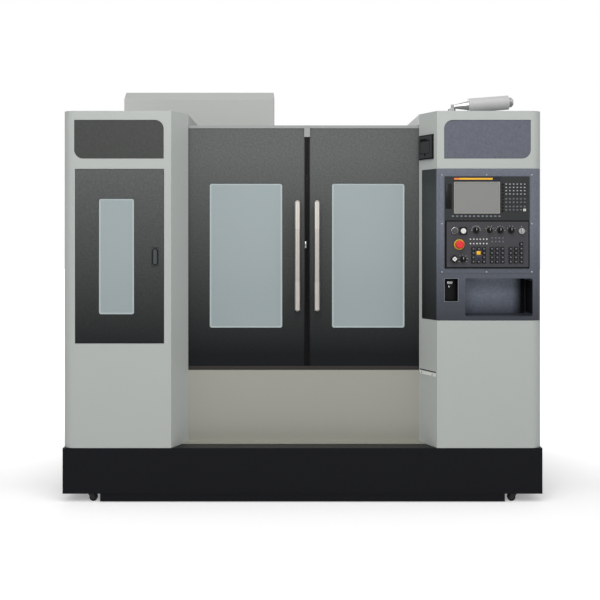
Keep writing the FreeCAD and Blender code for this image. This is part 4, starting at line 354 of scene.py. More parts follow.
# %% Assign finishes
FINISHES = {
    LIGHT_PAINT: ["left_tower", "right_tower", "left_side_panel", "right_side_panel", "back_wall"],
    CABINET_PAINT: ["electrical_cabinet", "cabinet_door"],
    RAIL_PAINT_AND_SHADE: ["door_header"],
    HEADER_PAINT: ["header_plates"],
    DOOR_PAINT: ["left_door", "right_door", "tool_access_door", "paddle_latch"],
    HOUSING_PAINT: ["operator_housing"],
    TANK_PAINT: ["coolant_tank"],
    CASTING_PAINT: ["bed_casting", "column_casting", "saddle", "spindle_head", "magazine_frame"],
    BRUSHED_SHEET: ["apron_panel", "splash_pan"],
    SILL_PAINT: ["door_sill"],
    POLISHED_BAR: ["left_door_handle", "right_door_handle"],
    GROUND_STEEL: ["levelling_feet", "axis_drives", "spindle", "tool_disc", "change_arm",
                   "rear_wheelset"],
    MACHINED_IRON: ["table"],
    CHROME: ["lamp_arm", "lamp_base", "key_switch"],
    DOOR_WINDOW: ["left_door_glass", "right_door_glass", "tool_access_window"],
    BEZEL_PLASTIC: ["display_unit"],
    PANEL_PLASTIC: ["machine_panel"],
    BLACK_PLASTIC: ["flap_frame", "spindle_motor", "selector_1", "selector_2", "selector_3",
                    "selector_4", "lower_selector", "square_button"],
    SATIN_PLASTIC: ["caster_fork_left", "caster_fork_right"],
    FLAP_PLASTIC: ["flap_cover"],
    RED_PLASTIC: ["estop_button"],
    WHITE_PLASTIC: ["white_button"],
    CAP_GREY: ["ring_button"],
    LAMP_LENS: ["lamp_tube"],
    BELLOWS_CLOTH: ["x_bellows_left", "x_bellows_right", "y_bellows"],
    RUBBER: ["caster_wheel_left", "caster_wheel_right"],
}
for finish, names in FINISHES.items():
    for name in names:
        NODES[name].data.materials.clear()
        NODES[name].data.materials.append(finish)
print(sum(len(names) for names in FINISHES.values()), "parts have a finish")

# %% [markdown]
# ## Room, lamps and floor
# A product picture wants even light and a white surround. A white world at full strength would
# also clip the machine's pale paint. So the world is white only to rays that come from the camera,
# a mirror or glass, and gentler to all others. One large lamp stands in front, one hangs nearer
# above the doors, weak ones at both sides light the chamfers, and one lights the back.
# The table gives a lamp's place, what it looks at, its width and its power.


# %% Light
def white_world(strength):
    """White where a camera, mirror or glass ray looks, and a gentle grey light for the rest."""
    world = bpy.data.worlds.new("room")
    bpy.context.scene.world = world
    world.use_nodes = True
    tree = world.node_tree
    rays = add_node(tree, "LightPath")
    seen = rays.outputs["Is Camera Ray"]
    for ray in ("Is Transmission Ray", "Is Glossy Ray"):
        either = add_node(tree, "Math", operation="MAXIMUM")
        tree.links.new(seen, either.inputs[0])
        join(tree, rays, ray, either, 1)
        seen = either.outputs[0]
    level = add_node(tree, "MapRange", {"To Min": strength, "To Max": 1})
    background = tree.nodes["Background"]
    fill(background, {"Color": (1, 1, 1, 1)})
    tree.links.new(seen, level.inputs["Value"])
    join(tree, level, "Result", background, "Strength")


def soft_lamp(name, spot, target, width, power):
    """A square lamp at a spot that looks at a target."""
    data = bpy.data.lights.new(name, "AREA")
    data.size = width
    data.energy = power
    lamp = new_object(name, data)
    away = np.subtract(spot, target)
    flat = math.hypot(away[0], away[1])
    lamp.location = spot
    lamp.rotation_euler = (math.atan2(flat, away[2]), 0, math.atan2(away[0], -away[1]))


ROOM_LEVEL = 0.42
LAMPS = {
    "key_lamp": ((-0.6, -6.2, 4.0), (0, -1, 1.6), 2.6, 84),
    "top_lamp": ((0.2, -2.9, 4.2), (0, -1, 1.5), 2.4, 60),
    "left_lamp": ((-4.2, -4.0, 2.6), (0, -1, 1.2), 3.0, 28),
    "right_lamp": ((4.2, -4.0, 2.6), (0, -1, 1.2), 3.0, 28),
    "back_lamp": ((-1.5, 6.0, 3.4), (0, 0.5, 1.2), 3.0, 90),
}
white_world(ROOM_LEVEL)
for name, (spot, target, width, power) in LAMPS.items():
    soft_lamp(name, spot, target, width, power)
print(len(LAMPS), "lamps and a white room")


# %% [markdown]
# The floor is one big sheet of pale paper with a soft shadow. More light would whiten it but burn
# out the machine, so it glows for the camera alone, just enough to read as white and keep the
# shade. Behind the machine it glows fully, so that no horizon shows.


# %% Floor
FLOOR_HALF, GLOW_RUN, GLOW_LEVELS = 30, (-0.8, 1.5), {"To Min": 0.3, "To Max": 1}
PAPER = {"Base Color": (0.85, 0.85, 0.85, 1), "Roughness": 0.9, "Emission Color": (1, 1, 1, 1)}


def paper_floor(half):
    """A flat sheet centred under the machine: each corner is plus or minus half in X and Y."""
    corners = np.array([(-1, -1, 0), (1, -1, 0), (1, 1, 0), (-1, 1, 0)]) * half
    mesh = bpy.data.meshes.new("floor")
    mesh.from_pydata(corners.tolist(), [], [(0, 1, 2, 3)])
    floor = new_object("floor", mesh)
    material, tree, shader = new_material("floor_paper")
    fill(shader, PAPER)
    rays = add_node(tree, "LightPath")
    glow = add_node(tree, "Math", operation="MULTIPLY")
    reach = travel(tree, "Y", *GLOW_RUN)
    fill(reach, GLOW_LEVELS)
    join(tree, reach, "Result", glow, 1)
    join(tree, rays, "Is Camera Ray", glow, 0)
    join(tree, glow, 0, shader, "Emission Strength")
    mesh.materials.append(material)
    floor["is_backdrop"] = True


paper_floor(FLOOR_HALF)
print("floor laid")

# %% [markdown]
# ## Tools for new pieces
# A new piece is a grid of points worked out from two numbers, one along a profile and one along its
# path. Blender's cubes and cylinders would need edits by hand to become key caps or ribbed collars,
# while a grid takes any formula. One helper turns it into a mesh, merges the points that meet,
# turns all faces outwards and hands the piece to the body that carries it.


# %% Mesh helper
MERGE_DISTANCE = 1e-6


def grid_faces(rows, columns, closed=False):
    """The corners of each face of a grid of rings, its last ring joined to its first if closed."""
    index = np.arange(rows * columns).reshape(rows, columns)
    if closed:
        index = np.vstack([index, index[:1]])
    index = np.hstack([index, index[:, :1]])
    corners = [index[:-1, :-1], index[1:, :-1], index[1:, 1:], index[:-1, 1:]]
    return np.stack(corners, -1).reshape(-1, 4)


def add_piece(name, points, faces, finish, body, smooth=True):
    """A mesh from points and faces: doubles merged, faces turned out, riding on a body if named."""
    mesh = bpy.data.meshes.new(name)
    mesh.from_pydata(points.reshape(-1, 3).tolist(), [], faces.tolist())
    shape = bmesh.new()
    shape.from_mesh(mesh)
    bmesh.ops.remove_doubles(shape, verts=shape.verts, dist=MERGE_DISTANCE)
    bmesh.ops.dissolve_degenerate(shape, edges=shape.edges, dist=MERGE_DISTANCE / 10)
    bmesh.ops.recalc_face_normals(shape, faces=shape.faces)
    shape.to_mesh(mesh)
    shape.free()
    mesh.polygons.foreach_set("use_smooth", [smooth] * len(mesh.polygons))
    mesh.materials.append(finish)
    piece = new_object(name, mesh)
    if body:
        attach(piece, body)
    return piece


def faces_of(faces, size, times):
    """The faces of a shape that is there many times: its numbers plus its size for each copy."""
    return (faces[None] + size * np.arange(times)[:, None, None]).reshape(-1, 4)


def copies(points, faces, offsets):
    """The same shape at many places: every point plus each offset."""
    points = points.reshape(-1, 3)
    many = (points[None] + offsets[:, None]).reshape(-1, 3)
    return many, faces_of(faces, len(points), len(offsets))


print("mesh helpers are ready")


# %% [markdown]
# Round parts are turned on a lathe: a profile of radius and height is spun about an axis. Blocks
# with round edges could be bevelled cubes, but a ball cut in eight, its parts moved out to the
# corners of a block, is one smooth grid, and its radius is exact.


# %% Lathe and soft block
def spun(profile, steps, axis="y", closed=False):
    """Lathe work: radius times the cosine and sine of the angle, and the height along the axis."""
    profile = np.array(profile, float) * MM
    angle = np.linspace(0, 2 * np.pi, steps, endpoint=False)
    radius, height = profile[:, 0][:, None], profile[:, 1][:, None]
    side, up = radius * np.cos(angle), radius * np.sin(angle)
    along = height + 0 * angle
    points = np.stack((side, -along, up) if axis == "y" else (side, up, along), -1)
    return points, grid_faces(len(profile), steps, closed)


def soft_block(size, radius, steps=2):
    """A block with round edges: a ball's radius added to the corners of a smaller block."""
    half, radius = np.array(size) * MM / 2, radius * MM
    quarter = np.linspace(0, 90, steps + 1)
    turn = np.radians(np.concatenate([quarter + 90 * number for number in range(4)]))
    east = np.repeat([1, -1, -1, 1], steps + 1)
    north = np.repeat([1, 1, -1, -1], steps + 1)
    rise = np.radians(np.concatenate([quarter - 90, quarter]))
    level = np.repeat([-1, 1], steps + 1)
    flat, high = np.cos(rise)[:, None], np.sin(rise)[:, None]
    ball = np.stack([flat * np.cos(turn), flat * np.sin(turn), high + 0 * turn], -1)
    corner = np.stack(np.broadcast_arrays(east, north, level[:, None]), -1)
    points = corner * (half - radius) + radius * ball
    poles = [np.tile([0, 0, sign * half[2]], (1, len(turn), 1)) for sign in (-1, 1)]
    points = np.concatenate([poles[0], points, poles[1]])
    return points, grid_faces(len(rise) + 2, len(turn))


print("a soft block has", soft_block((10, 10, 10), 1)[0].size // 3, "points")


# %% [markdown]
# Sheet parts start from an outline that lies in the plane facing the operator. A curve with a
# depth could do it, but has to be made a mesh later. A slab fills the outline, and a loop keeps
# only its border, as a gasket does. Stacked outlines are again a grid.


# %% Sheet shapes
def rounded(width, height, radius, steps=6):
    """Outline of a rounded rectangle: each quarter of a circle moved out to its own corner."""
    turn = np.radians(np.linspace(0, 90, steps + 1)[None] + 90 * np.arange(4)[:, None])
    side = np.array([1, -1, -1, 1])[:, None] * (width / 2 - radius)
    rise = np.array([1, 1, -1, -1])[:, None] * (height / 2 - radius)
    return np.stack([side + radius * np.cos(turn), rise + radius * np.sin(turn)], -1).reshape(-1, 2)


def stack_rings(rings, depths, closed):
    """Join outlines that lie one behind the other at the given depths into one skin."""
    rows = [np.insert(np.asarray(ring, float), 1, depth, axis=1)
            for ring, depth in zip(rings, depths)]
    return np.stack(rows) * MM, grid_faces(len(rows), len(rings[0]), closed)


def slab(outline, front, back):
    """A filled plate: its middle and its outline at the front, then the same behind."""
    middle = np.broadcast_to(np.mean(outline, 0), np.shape(outline))
    return stack_rings((middle, outline, outline, middle), (front, front, back, back), False)


def loop(inner, outer, front, back):
    """A border: inner and outer outline at the front, then outer and inner behind."""
    return stack_rings((inner, outer, outer, inner), (front, front, back, back), True)


def seat(name, shape, places, finish, body="machine", smooth=True):
    """One piece made of copies of a shape, one at each place."""
    add_piece(name, *copies(*shape, places), finish, body, smooth)


print("slab, loop and seat are ready")

# %% [markdown]
# ## Operator panel
# The operator stands before a plate that holds a screen unit and a button panel. Keys and marks
# could be pushed about by hand, but the real ones stand in even rows. So their places are worked
# out, across and up, in millimetres from the corner of their unit.


# %% Panel places
def box_mm(name):
    """The low and the high corner of a part's box, in millimetres."""
    return [np.array(corner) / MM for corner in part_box(name)]


def on_front(across, up, face):
    """Places on a front face, one for each pair of across and up, as metres."""
    across, up = np.broadcast_arrays(np.asarray(across, float), np.asarray(up, float))
    return np.stack([across, np.full(across.shape, float(face)), up], -1).reshape(-1, 3) * MM


def middle_of(name, face):
    """The middle of a part's box as seen from the front, laid on a face."""
    low, high = box_mm(name)
    return on_front((low[0] + high[0]) / 2, (low[2] + high[2]) / 2, face)


def crossings(columns, rows):
    """Across and up of every place where a column crosses a row, one row after the other."""
    return [grid.ravel() for grid in np.meshgrid(columns, rows)]


PANEL_RISE, DISPLAY_RISE = 3, 6
PLATE_FACE = box_mm("operator_housing")[0][1]
PANEL_FACE, DISPLAY_FACE = PLATE_FACE - PANEL_RISE, PLATE_FACE - DISPLAY_RISE
(PANEL_LEFT, _, PANEL_FOOT), (PANEL_RIGHT, _, PANEL_TOP) = box_mm("machine_panel")
DISPLAY_LEFT, _, DISPLAY_FOOT = box_mm("display_unit")[0]
print("panel face at", round(PANEL_FACE, 1), "mm, display face at", round(DISPLAY_FACE, 1), "mm")

# %% [markdown]
# Eight dome-headed screws hold the mounting plate. A head could be a cylinder with a bevel, but
# that loses the dip for the key. So a short profile is spun: a dip in the middle, a dome and a rim.
# The units cover the place of a ninth.

# %% Plate screws
SCREW = spun([(0, 1.0), (1.6, 1.0), (1.8, 2.6), (3.2, 2.1), (4.0, 1.1), (4.2, 0), (0, 0)], 20)
SCREW_COLUMNS, SCREW_ROWS = (697, 920, 1146), (1152.5, 1393, 1637)
COVERED = (SCREW_COLUMNS[1], SCREW_ROWS[1])
screw_places = [(across, up) for across in SCREW_COLUMNS for up in SCREW_ROWS
                if (across, up) != COVERED]
seat("plate_screws", SCREW, on_front(*np.array(screw_places).T, PLATE_FACE), GROUND_STEEL)
print(len(screw_places), "plate screws")

# %% [markdown]
# The display has three groups of keys: letters and digits at the right, a row of paler keys under
# the screen, and a narrow column between the two. The solid has them as plain blocks, and each gets
# a cap with round edges that catch the light. Bevelled cubes would do as well, but one block copied
# by numpy is a single light mesh.

# %% Display keys
KEY_GREY = coated("key_grey", (66, 68, 72), 0.4, shine=0.3)
KEY_PALE = coated("key_pale", (112, 115, 122), 0.35, shine=0.4)
CAP_FACE, CAP_EDGE = DISPLAY_FACE - 0.5, 1.6
LETTER_LEFT, LETTER_PITCH = DISPLAY_LEFT + 306.5, 18.4
TOP_ROW, ROW_PITCH = DISPLAY_FOOT + 180, 16.5
ROW_GAPS = np.array([0, 0, 0, 0, 8, 8, 13, 13])
SIDE_COLUMN = DISPLAY_LEFT + 289
SOFT_LEFT, SOFT_PITCH, SOFT_ROW = DISPLAY_LEFT + 41, 21.1, DISPLAY_FOOT + 20.5
letter_rows = TOP_ROW - (ROW_PITCH * np.arange(len(ROW_GAPS)) + ROW_GAPS)
letter_across, letter_up = crossings(LETTER_LEFT + LETTER_PITCH * np.arange(6), letter_rows)
side_up = TOP_ROW - ROW_PITCH * np.arange(9)
soft_across = SOFT_LEFT + SOFT_PITCH * np.arange(12)
for name, size, across, up, finish in (
        ("letter_key_caps", (12.5, 5, 11.5), letter_across, letter_up, KEY_GREY),
        ("side_key_caps", (10.5, 5, 10), SIDE_COLUMN, side_up, BLACK_PLASTIC),
        ("soft_key_caps", (12, 5, 8), soft_across, SOFT_ROW, KEY_PALE)):
    seat(name, soft_block(size, CAP_EDGE), on_front(across, up, CAP_FACE), finish)
print(letter_across.size, "letter,", side_up.size, "side and", soft_across.size, "soft keys")

# %% [markdown]
# A printed legend reads as a pale fleck from a few steps away, so a thin bar stands for it. The
# four upper rows are printed in white and the rest in grey. The last key is white all over.

# %% Key marks
LEGEND_WHITE = coated("legend_white", (206, 206, 200), 0.6)
LEGEND_GREY = coated("legend_grey", (130, 130, 126), 0.6)
MARK_FACE, MARK_RISE = DISPLAY_FACE - 3, 1
mark = soft_block((5.6, 1, 3.2), 0.3)
clear = letter_up > TOP_ROW - 3.5 * ROW_PITCH
for name, chosen, finish in (("clear_key_marks", clear, LEGEND_WHITE),
                             ("faint_key_marks", ~clear, LEGEND_GREY)):
    places = on_front(letter_across[chosen], letter_up[chosen] + MARK_RISE, MARK_FACE)
    seat(name, mark, places, finish)
last_key = on_front(letter_across[-1], letter_up[-1], DISPLAY_FACE - 0.6)
seat("white_key", soft_block((13.5, 5.6, 13), 1.4), last_key, LEGEND_WHITE)
print("marks on", letter_across.size, "keys")

# %% [markdown]
# The grey-green screen lies a little behind a paler edge. Above it runs a dark band with two
# coloured strips, and a card door closes a slot at the left. Soft blocks would be too round for
# such flat pieces, so each is an outline with a thickness. A row of the table gives the shape, the
# place of its middle and the finish.

# %% Screen, band and card door
BAND_BLUE = coated("band_blue", (26, 29, 44), 0.35, shine=0.3)
AMBER = coated("amber_strip", (232, 176, 36), 0.4)
ORANGE = coated("orange_strip", (226, 124, 44), 0.4)
EDGE_GREY = coated("edge_grey", (146, 145, 138), 0.4)
SCREEN_MIDDLE = (161, 113.5)
edge = loop(rounded(222, 151, 2), rounded(229.5, 158.5, 3), -0.4, 4.5)
FLAT_PIECES = {
    "screen_pane": (slab(rounded(223, 152, 2), 1.5, 4.5), SCREEN_MIDDLE, SCREEN_GLASS),
    "screen_edge": (edge, SCREEN_MIDDLE, EDGE_GREY),
    "screen_band": (slab(rounded(234, 25, 2), -0.4, 0), (161, 205.5), BAND_BLUE),
    "amber_strip": (slab(rounded(167, 9, 1), -0.9, -0.4), (155.5, 207.5), AMBER),
    "orange_strip": (slab(rounded(25, 9, 1), -0.9, -0.4), (59.2, 207.5), ORANGE),
}


def on_display(across, up, depth=0):
    """A place on the display, from its lower left corner, at a depth behind its bezel."""
    return on_front(DISPLAY_LEFT + across, DISPLAY_FOOT + up, DISPLAY_FACE + depth)


for name, (shape, middle, finish) in FLAT_PIECES.items():
    seat(name, shape, on_display(*middle), finish, smooth=False)
seat("card_door", soft_block((30, 4, 122), 1.5), on_display(19, 119.5, 1.5), BLACK_PLASTIC)
print("screen, band, two strips and card door")

# %% [markdown]
# The lower panel has three fields of square keys with a small round window each, and one key more
# below the key switch. One key glows amber and the one below it is blue. All share one cap, so only
# the places and the finish differ.

# %% Field keys
GLOW_BLUE = coated("key_blue", (28, 36, 66), 0.35)
WINDOW_GREY = coated("window_grey", (88, 89, 97), 0.4)
FIELD_LEFTS, FIELD_FOOT = PANEL_LEFT + np.array([142.5, 234.5, 328.5]), PANEL_FOOT + 34.5
FIELD_PITCH, FIELD_ROW_PITCH = 26.7, 21.5
LONE_ACROSS, LONE_UP = PANEL_LEFT + 382, PANEL_FOOT + 122
WINDOW_SHIFT, WINDOW_FACE = 1.2, PANEL_FACE - 4.5
columns = (FIELD_LEFTS[:, None] + FIELD_PITCH * np.arange(3)).ravel()
across, up = crossings(columns, FIELD_FOOT + FIELD_ROW_PITCH * np.arange(4))
across, up = np.append(across, LONE_ACROSS), np.append(up, LONE_UP)
amber_key, blue_key = 2 * columns.size + 1, columns.size + 1
plain = ~np.isin(np.arange(across.size), (amber_key, blue_key))
cap = soft_block((19.6, 7, 18.6), 1.8)
for name, chosen, lift, finish in (("field_key_caps", plain, 1, BLACK_PLASTIC),
                                   ("amber_key", amber_key, 1.3, AMBER),
                                   ("blue_key", blue_key, 1, GLOW_BLUE)):
    seat(name, cap, on_front(across[chosen], up[chosen], PANEL_FACE - lift), finish)
disc = spun([(0, 0.5), (4.6, 0.4), (5.0, 0), (0, -0.2)], 16)
windows = on_front(across[plain] + WINDOW_SHIFT, up[plain] - WINDOW_SHIFT, WINDOW_FACE)
seat("key_windows", disc, windows, WINDOW_GREY)
print(across.size, "field keys")

# %% [markdown]
# A black gap runs round the lower panel, wider at the left and at the foot; the extra width at the
# left is painted shadow. It is a flat border rather than a cut, so the solid stays as it is. Small
# domes in two groups are status lights.

# %% Panel border and status lights
# This black fills real gaps and seams, and is also painted shade at the tray's end and the panel's
# left edge.
GAP_AND_SHADE_BLACK = coated("gap_and_shade_black", (12, 12, 14), 0.5, shine=0.1)
UNIT_SQUARE = np.array([(0, 0), (1, 0), (1, 1), (0, 1)])
# The extra width at the left is painted shadow.
GAP_AND_SHADOW_LOW, GAP_HIGH = np.array([10, 7]), np.array([5, 5])
panel_size = np.array([PANEL_RIGHT - PANEL_LEFT, PANEL_TOP - PANEL_FOOT])
field = UNIT_SQUARE * (panel_size - GAP_AND_SHADOW_LOW - GAP_HIGH) + GAP_AND_SHADOW_LOW
panel_corner = on_front(PANEL_LEFT, PANEL_FOOT, PANEL_FACE)
border = loop(field, UNIT_SQUARE * panel_size, -0.4, 0)
seat("panel_border", border, panel_corner, GAP_AND_SHADE_BLACK, smooth=False)
dot = spun([(0, 1.6), (2.2, 1.4), (3.4, 0.7), (3.7, 0), (0, -0.2)], 14)
lights = 0
for name, left, pitch, count, rows, finish in (
        ("status_lights", 129, 16.3, 6, (124, 146), WHITE_PLASTIC),
        ("faint_lights", 237, 18.3, 4, (134, 152), KEY_PALE)):
    columns = PANEL_LEFT + left + pitch * np.arange(count)
    across, up = crossings(columns, PANEL_FOOT + np.array(rows))
    seat(name, dot, on_front(across, up, PANEL_FACE), finish)
    lights += across.size
print("border and", lights, "lights")


# %% [markdown]
# Each rotary switch stands in a ring of short marks, like the face of a watch. An array modifier
# with an empty would turn copies too, but needs one more object for each dial. Here a mark is a
# thin block moved out by the ring's radius and turned about the switch's axis.


# %% Dial marks
def dial_marks(angles):
    """Marks round a dial: a thin block pushed out by the radius, then turned by each angle."""
    points, faces = soft_block(MARK_SIZE, 0.25)
    points = points.reshape(-1, 3) + np.array([0, 0, DIAL_RADIUS * MM])
    turn = np.radians(angles)[:, None]
    x, y, z = points[:, 0], points[:, 1] + 0 * turn, points[:, 2]
    across, up = x * np.cos(turn) + z * np.sin(turn), z * np.cos(turn) - x * np.sin(turn)
    return np.stack([across, y, up], -1), faces_of(faces, len(points), len(angles))


DIAL_RADIUS, MARK_SIZE = 22, (1.3, 0.6, 5.5)
DIALS = {
    "selector_1": (156.5, 190, np.linspace(-90, 90, 11)),
    "selector_2": (224.5, 190, np.linspace(-60, 60, 4)),
    "selector_3": (277.5, 190, np.linspace(-90, 90, 7)),
    "selector_4": (332, 190, np.linspace(-60, 60, 4)),
    "lower_selector": (91, 46, np.linspace(-120, 120, 7)),
    "key_switch": (383.5, 187, np.array([0, 90])),
}
for name, (across, up, angles) in DIALS.items():
    centre = on_front(PANEL_LEFT + across, PANEL_FOOT + up, PANEL_FACE)
    seat(f"{name}_marks", dial_marks(angles), centre, LEGEND_WHITE, smooth=False)
print(len(DIALS), "dials")

# %% [markdown]
# Each knob has a white line that shows where it points. It is a piece of its own that rides on the
# knob, while the marks stay on the panel.

# %% Pointer lines
LINE_RISE = 6
for name, (across, up, _) in DIALS.items():
    knob_face = box_mm(name)[0][1]
    spot = on_front(PANEL_LEFT + across, PANEL_FOOT + up + LINE_RISE, knob_face)
    seat(f"{name}_line", soft_block((1.8, 0.6, 12), 0.25), spot, LEGEND_WHITE, name, False)
print(len(DIALS), "pointer lines")

# %% [markdown]
# Every push button has its own bezel: a plated ring, a black square, and a square that stands on
# its corner. The emergency stop lies in a yellow ring. A torus would be too round: the real rings
# are low outside and highest near the button, so a closed profile is spun. A square bezel is a loop
# between two square outlines.


# %% Button bezels
def ring(inner, outer, rise):
    """A ring that lies on the panel: low at its outer rim, highest near the inner one."""
    crest, shoulder = (inner + 1, rise + 0.6), (outer - 0.5, rise / 2)
    return spun([(inner, 0), (inner, rise), crest, shoulder, (outer, 0)], 40, closed=True)


def on_corner(size, radius):
    """A rounded square turned by an eighth of a turn, so that it stands on its corner."""
    half_root = math.sqrt(0.5)
    return rounded(size, size, radius) @ np.array([(half_root, half_root), (-half_root, half_root)])


seat("stop_ring", ring(21, 26.5, 5), middle_of("estop_button", PANEL_FACE), YELLOW_PLASTIC)
seat("plated_ring", ring(14.2, 18.6, 8), middle_of("ring_button", PANEL_FACE), CHROME)
seat("pale_ring", ring(16, 18, 0.6), middle_of("selector_2", PANEL_FACE), LEGEND_GREY)
bezel = loop(rounded(27.5, 27.5, 3), rounded(37, 37, 3), -7, 0)
seat("square_bezel", bezel, middle_of("white_button", PANEL_FACE), BLACK_PLASTIC, smooth=False)
bezel = loop(on_corner(24, 2), on_corner(30, 2), -17, -4)
seat("diamond_bezel", bezel, middle_of("square_button", PANEL_FACE), BLACK_PLASTIC, smooth=False)
print("three rings and two bezels")

# %% [markdown]
# The button that stands on its corner has a white cap with a small grey ring. Both ride on the
# button, so they go in with it.

# %% Diamond cap
CAP_RISE = 1.2
button_face = box_mm("square_button")[0][1]
cap_place = middle_of("square_button", button_face)
mark_place = middle_of("square_button", button_face - CAP_RISE)
diamond = slab(on_corner(19, 4), -CAP_RISE, 0)
seat("diamond_cap", diamond, cap_place, WHITE_PLASTIC, "square_button", False)
seat("diamond_mark", ring(2.6, 4, 0.3), mark_place, KEY_PALE, "square_button")
print("cap and mark")

# %% [markdown]
# ## Interface port
# A recess at the foot of the plate has a black insert with a pale rim. A plated socket with a lid
# and a round screw cap sit near its top. The recess is painted like the plate, so a loop lines its
# walls and a slab its back.

# %% Port insert
RIM_GREY = coated("rim_grey", (120, 123, 132), 0.4)
PORT_ACROSS, PORT_UP, PORT_DEPTH = 743.5, 1062, 59
inside = (UNIT_SQUARE - 0.5) * (64.6, 111.6)
PORT_PIECES = {
    "port_rim": (loop(rounded(67, 114, 2), rounded(72, 119, 3), -0.8, 0), RIM_GREY),
    "port_walls": (loop(inside * 0.985, inside, 0.5, PORT_DEPTH), GAP_AND_SHADE_BLACK),
    "port_back": (slab(inside * 0.98, PORT_DEPTH - 1, PORT_DEPTH), BLACK_PLASTIC),
}
port_place = on_front(PORT_ACROSS, PORT_UP, PLATE_FACE)
for name, (shape, finish) in PORT_PIECES.items():
    seat(name, shape, port_place, finish, smooth=False)
lid_place = on_front(PORT_ACROSS - 4, PORT_UP + 36, PLATE_FACE + PORT_DEPTH - 20)
seat("port_lid", soft_block((34, 38, 18), 6, 4), lid_place, CHROME)
cap_place = on_front(PORT_ACROSS - 6, PORT_UP + 15, PLATE_FACE + PORT_DEPTH)
seat("port_cap", spun([(0, 26), (4, 26), (6, 24), (6, 0), (0, 0)], 24), cap_place, CHROME)
print("port insert, lid and cap")

# %% [markdown]
# The shelf below the panel is a deep tray. Its back wall catches the light and its right end lies
# in shade. A lamp could do that, but would light the rest as well, so a thin lining in front of the
# walls carries that light and shade as painted colour: a fade on the back wall and a black strip at
# the right end.

# %% Tray lining
NICHE_LEFT, NICHE_RIGHT, NICHE_FOOT, NICHE_TOP, NICHE_DEPTH = 817, 1148, 933, 1117, 155
niche_width, niche_height = NICHE_RIGHT - NICHE_LEFT, NICHE_TOP - NICHE_FOOT
niche_across, niche_up = (NICHE_LEFT + NICHE_RIGHT) / 2, (NICHE_FOOT + NICHE_TOP) / 2
wall_place = on_front(niche_across, niche_up, PLATE_FACE + NICHE_DEPTH)
wall = slab(rounded(niche_width - 2, niche_height - 2, 9), 0.4, 1.4)
seat("tray_wall", wall, wall_place, NICHE_PAINTED_SHADE, smooth=False)
# A black strip at the tray's right end, painted shade.
end_place = on_front(NICHE_RIGHT + 1, niche_up, PLATE_FACE + NICHE_DEPTH / 2)
tray_end_shade = soft_block((1, NICHE_DEPTH - 12, niche_height - 22), 0.3)
seat("tray_end_shade", tray_end_shade, end_place, GAP_AND_SHADE_BLACK, smooth=False)
print("tray lining")

# %% [markdown]
# ## Fittings on the chamfer
# The chamfer beside the doors carries the socket box and, at sill height, a small bracket. Its face
# is turned from the front. Each piece could be rotated as an object, but two unit arrows turn the
# points themselves: one runs along the chamfer, one points out of it. The flap's own front face
# tells how far out the pieces lie.

# %% Chamfer frame
CHAMFER_RUN, CHAMFER_OUT = np.array([0.41159, -0.91137, 0]), np.array([-0.91137, -0.41159, 0])
UPRIGHT = np.array([0, 0, 1])
flap = np.array([point.co for point in NODES["flap_cover"].data.vertices])
FLAP_FACE = (flap @ CHAMFER_OUT).max() / MM
flap_low, flap_high = (flap @ CHAMFER_RUN).min() / MM, (flap @ CHAMFER_RUN).max() / MM
print("flap from", round(flap_low, 1), "to", round(flap_high, 1), "mm along the chamfer")


def on_chamfer(name, shape, along, up, face, finish, body="machine", smooth=False):
    """Turn a flat shape onto the chamfer: across runs along it and depth goes into it."""
    points, faces = shape
    points = np.asarray(points).reshape(-1, 3)
    turned = points[:, :1] * CHAMFER_RUN - points[:, 1:2] * CHAMFER_OUT + points[:, 2:] * UPRIGHT
    place = (CHAMFER_RUN * along + CHAMFER_OUT * face + UPRIGHT * up) * MM
    add_piece(name, turned + place, faces, finish, body, smooth)


# %% [markdown]
# The hinged cover of the socket box has a finger slot at the top, a raised rim with round corners
# and a lock at the foot. They are thin pieces that ride on the cover and swing with it.

# %% Socket flap
FLAP_FOOT, FLAP_TOP = (corner[2] for corner in box_mm("flap_cover"))
RIM_WIDTH = 3
flap_middle, flap_width = (flap_low + flap_high) / 2, flap_high - flap_low
pane_width, pane_height = flap_width - 34, FLAP_TOP - FLAP_FOOT - 50
slot = slab(rounded(flap_width * 0.5, 7, 1.5), -0.4, 0)
rim = loop(rounded(pane_width, pane_height, 2),
           rounded(pane_width + 2 * RIM_WIDTH, pane_height + 2 * RIM_WIDTH, 4), -0.5, 0)
lock = spun([(0, 0.8), (6.5, 0.6), (7.5, 0), (0, -0.2)], 20)
for name, shape, along, up, finish, smooth in (
        ("flap_slot", slot, -flap_width * 0.12, FLAP_TOP - 17, GAP_AND_SHADE_BLACK, False),
        ("flap_rim", rim, 0, (FLAP_FOOT + FLAP_TOP) / 2, BLACK_PLASTIC, False),
        ("flap_lock", lock, 0, FLAP_FOOT + 18, GAP_AND_SHADE_BLACK, True)):
    on_chamfer(name, shape, flap_middle + along, up, FLAP_FACE, finish, "flap_cover", smooth)
print("slot, rim and lock")

# %% [markdown]
# The bracket at the end of the sill is a painted strip held by two screws, with a dark slit above
# it. Strip and slit are soft blocks, and the screws are the same as the plate's.

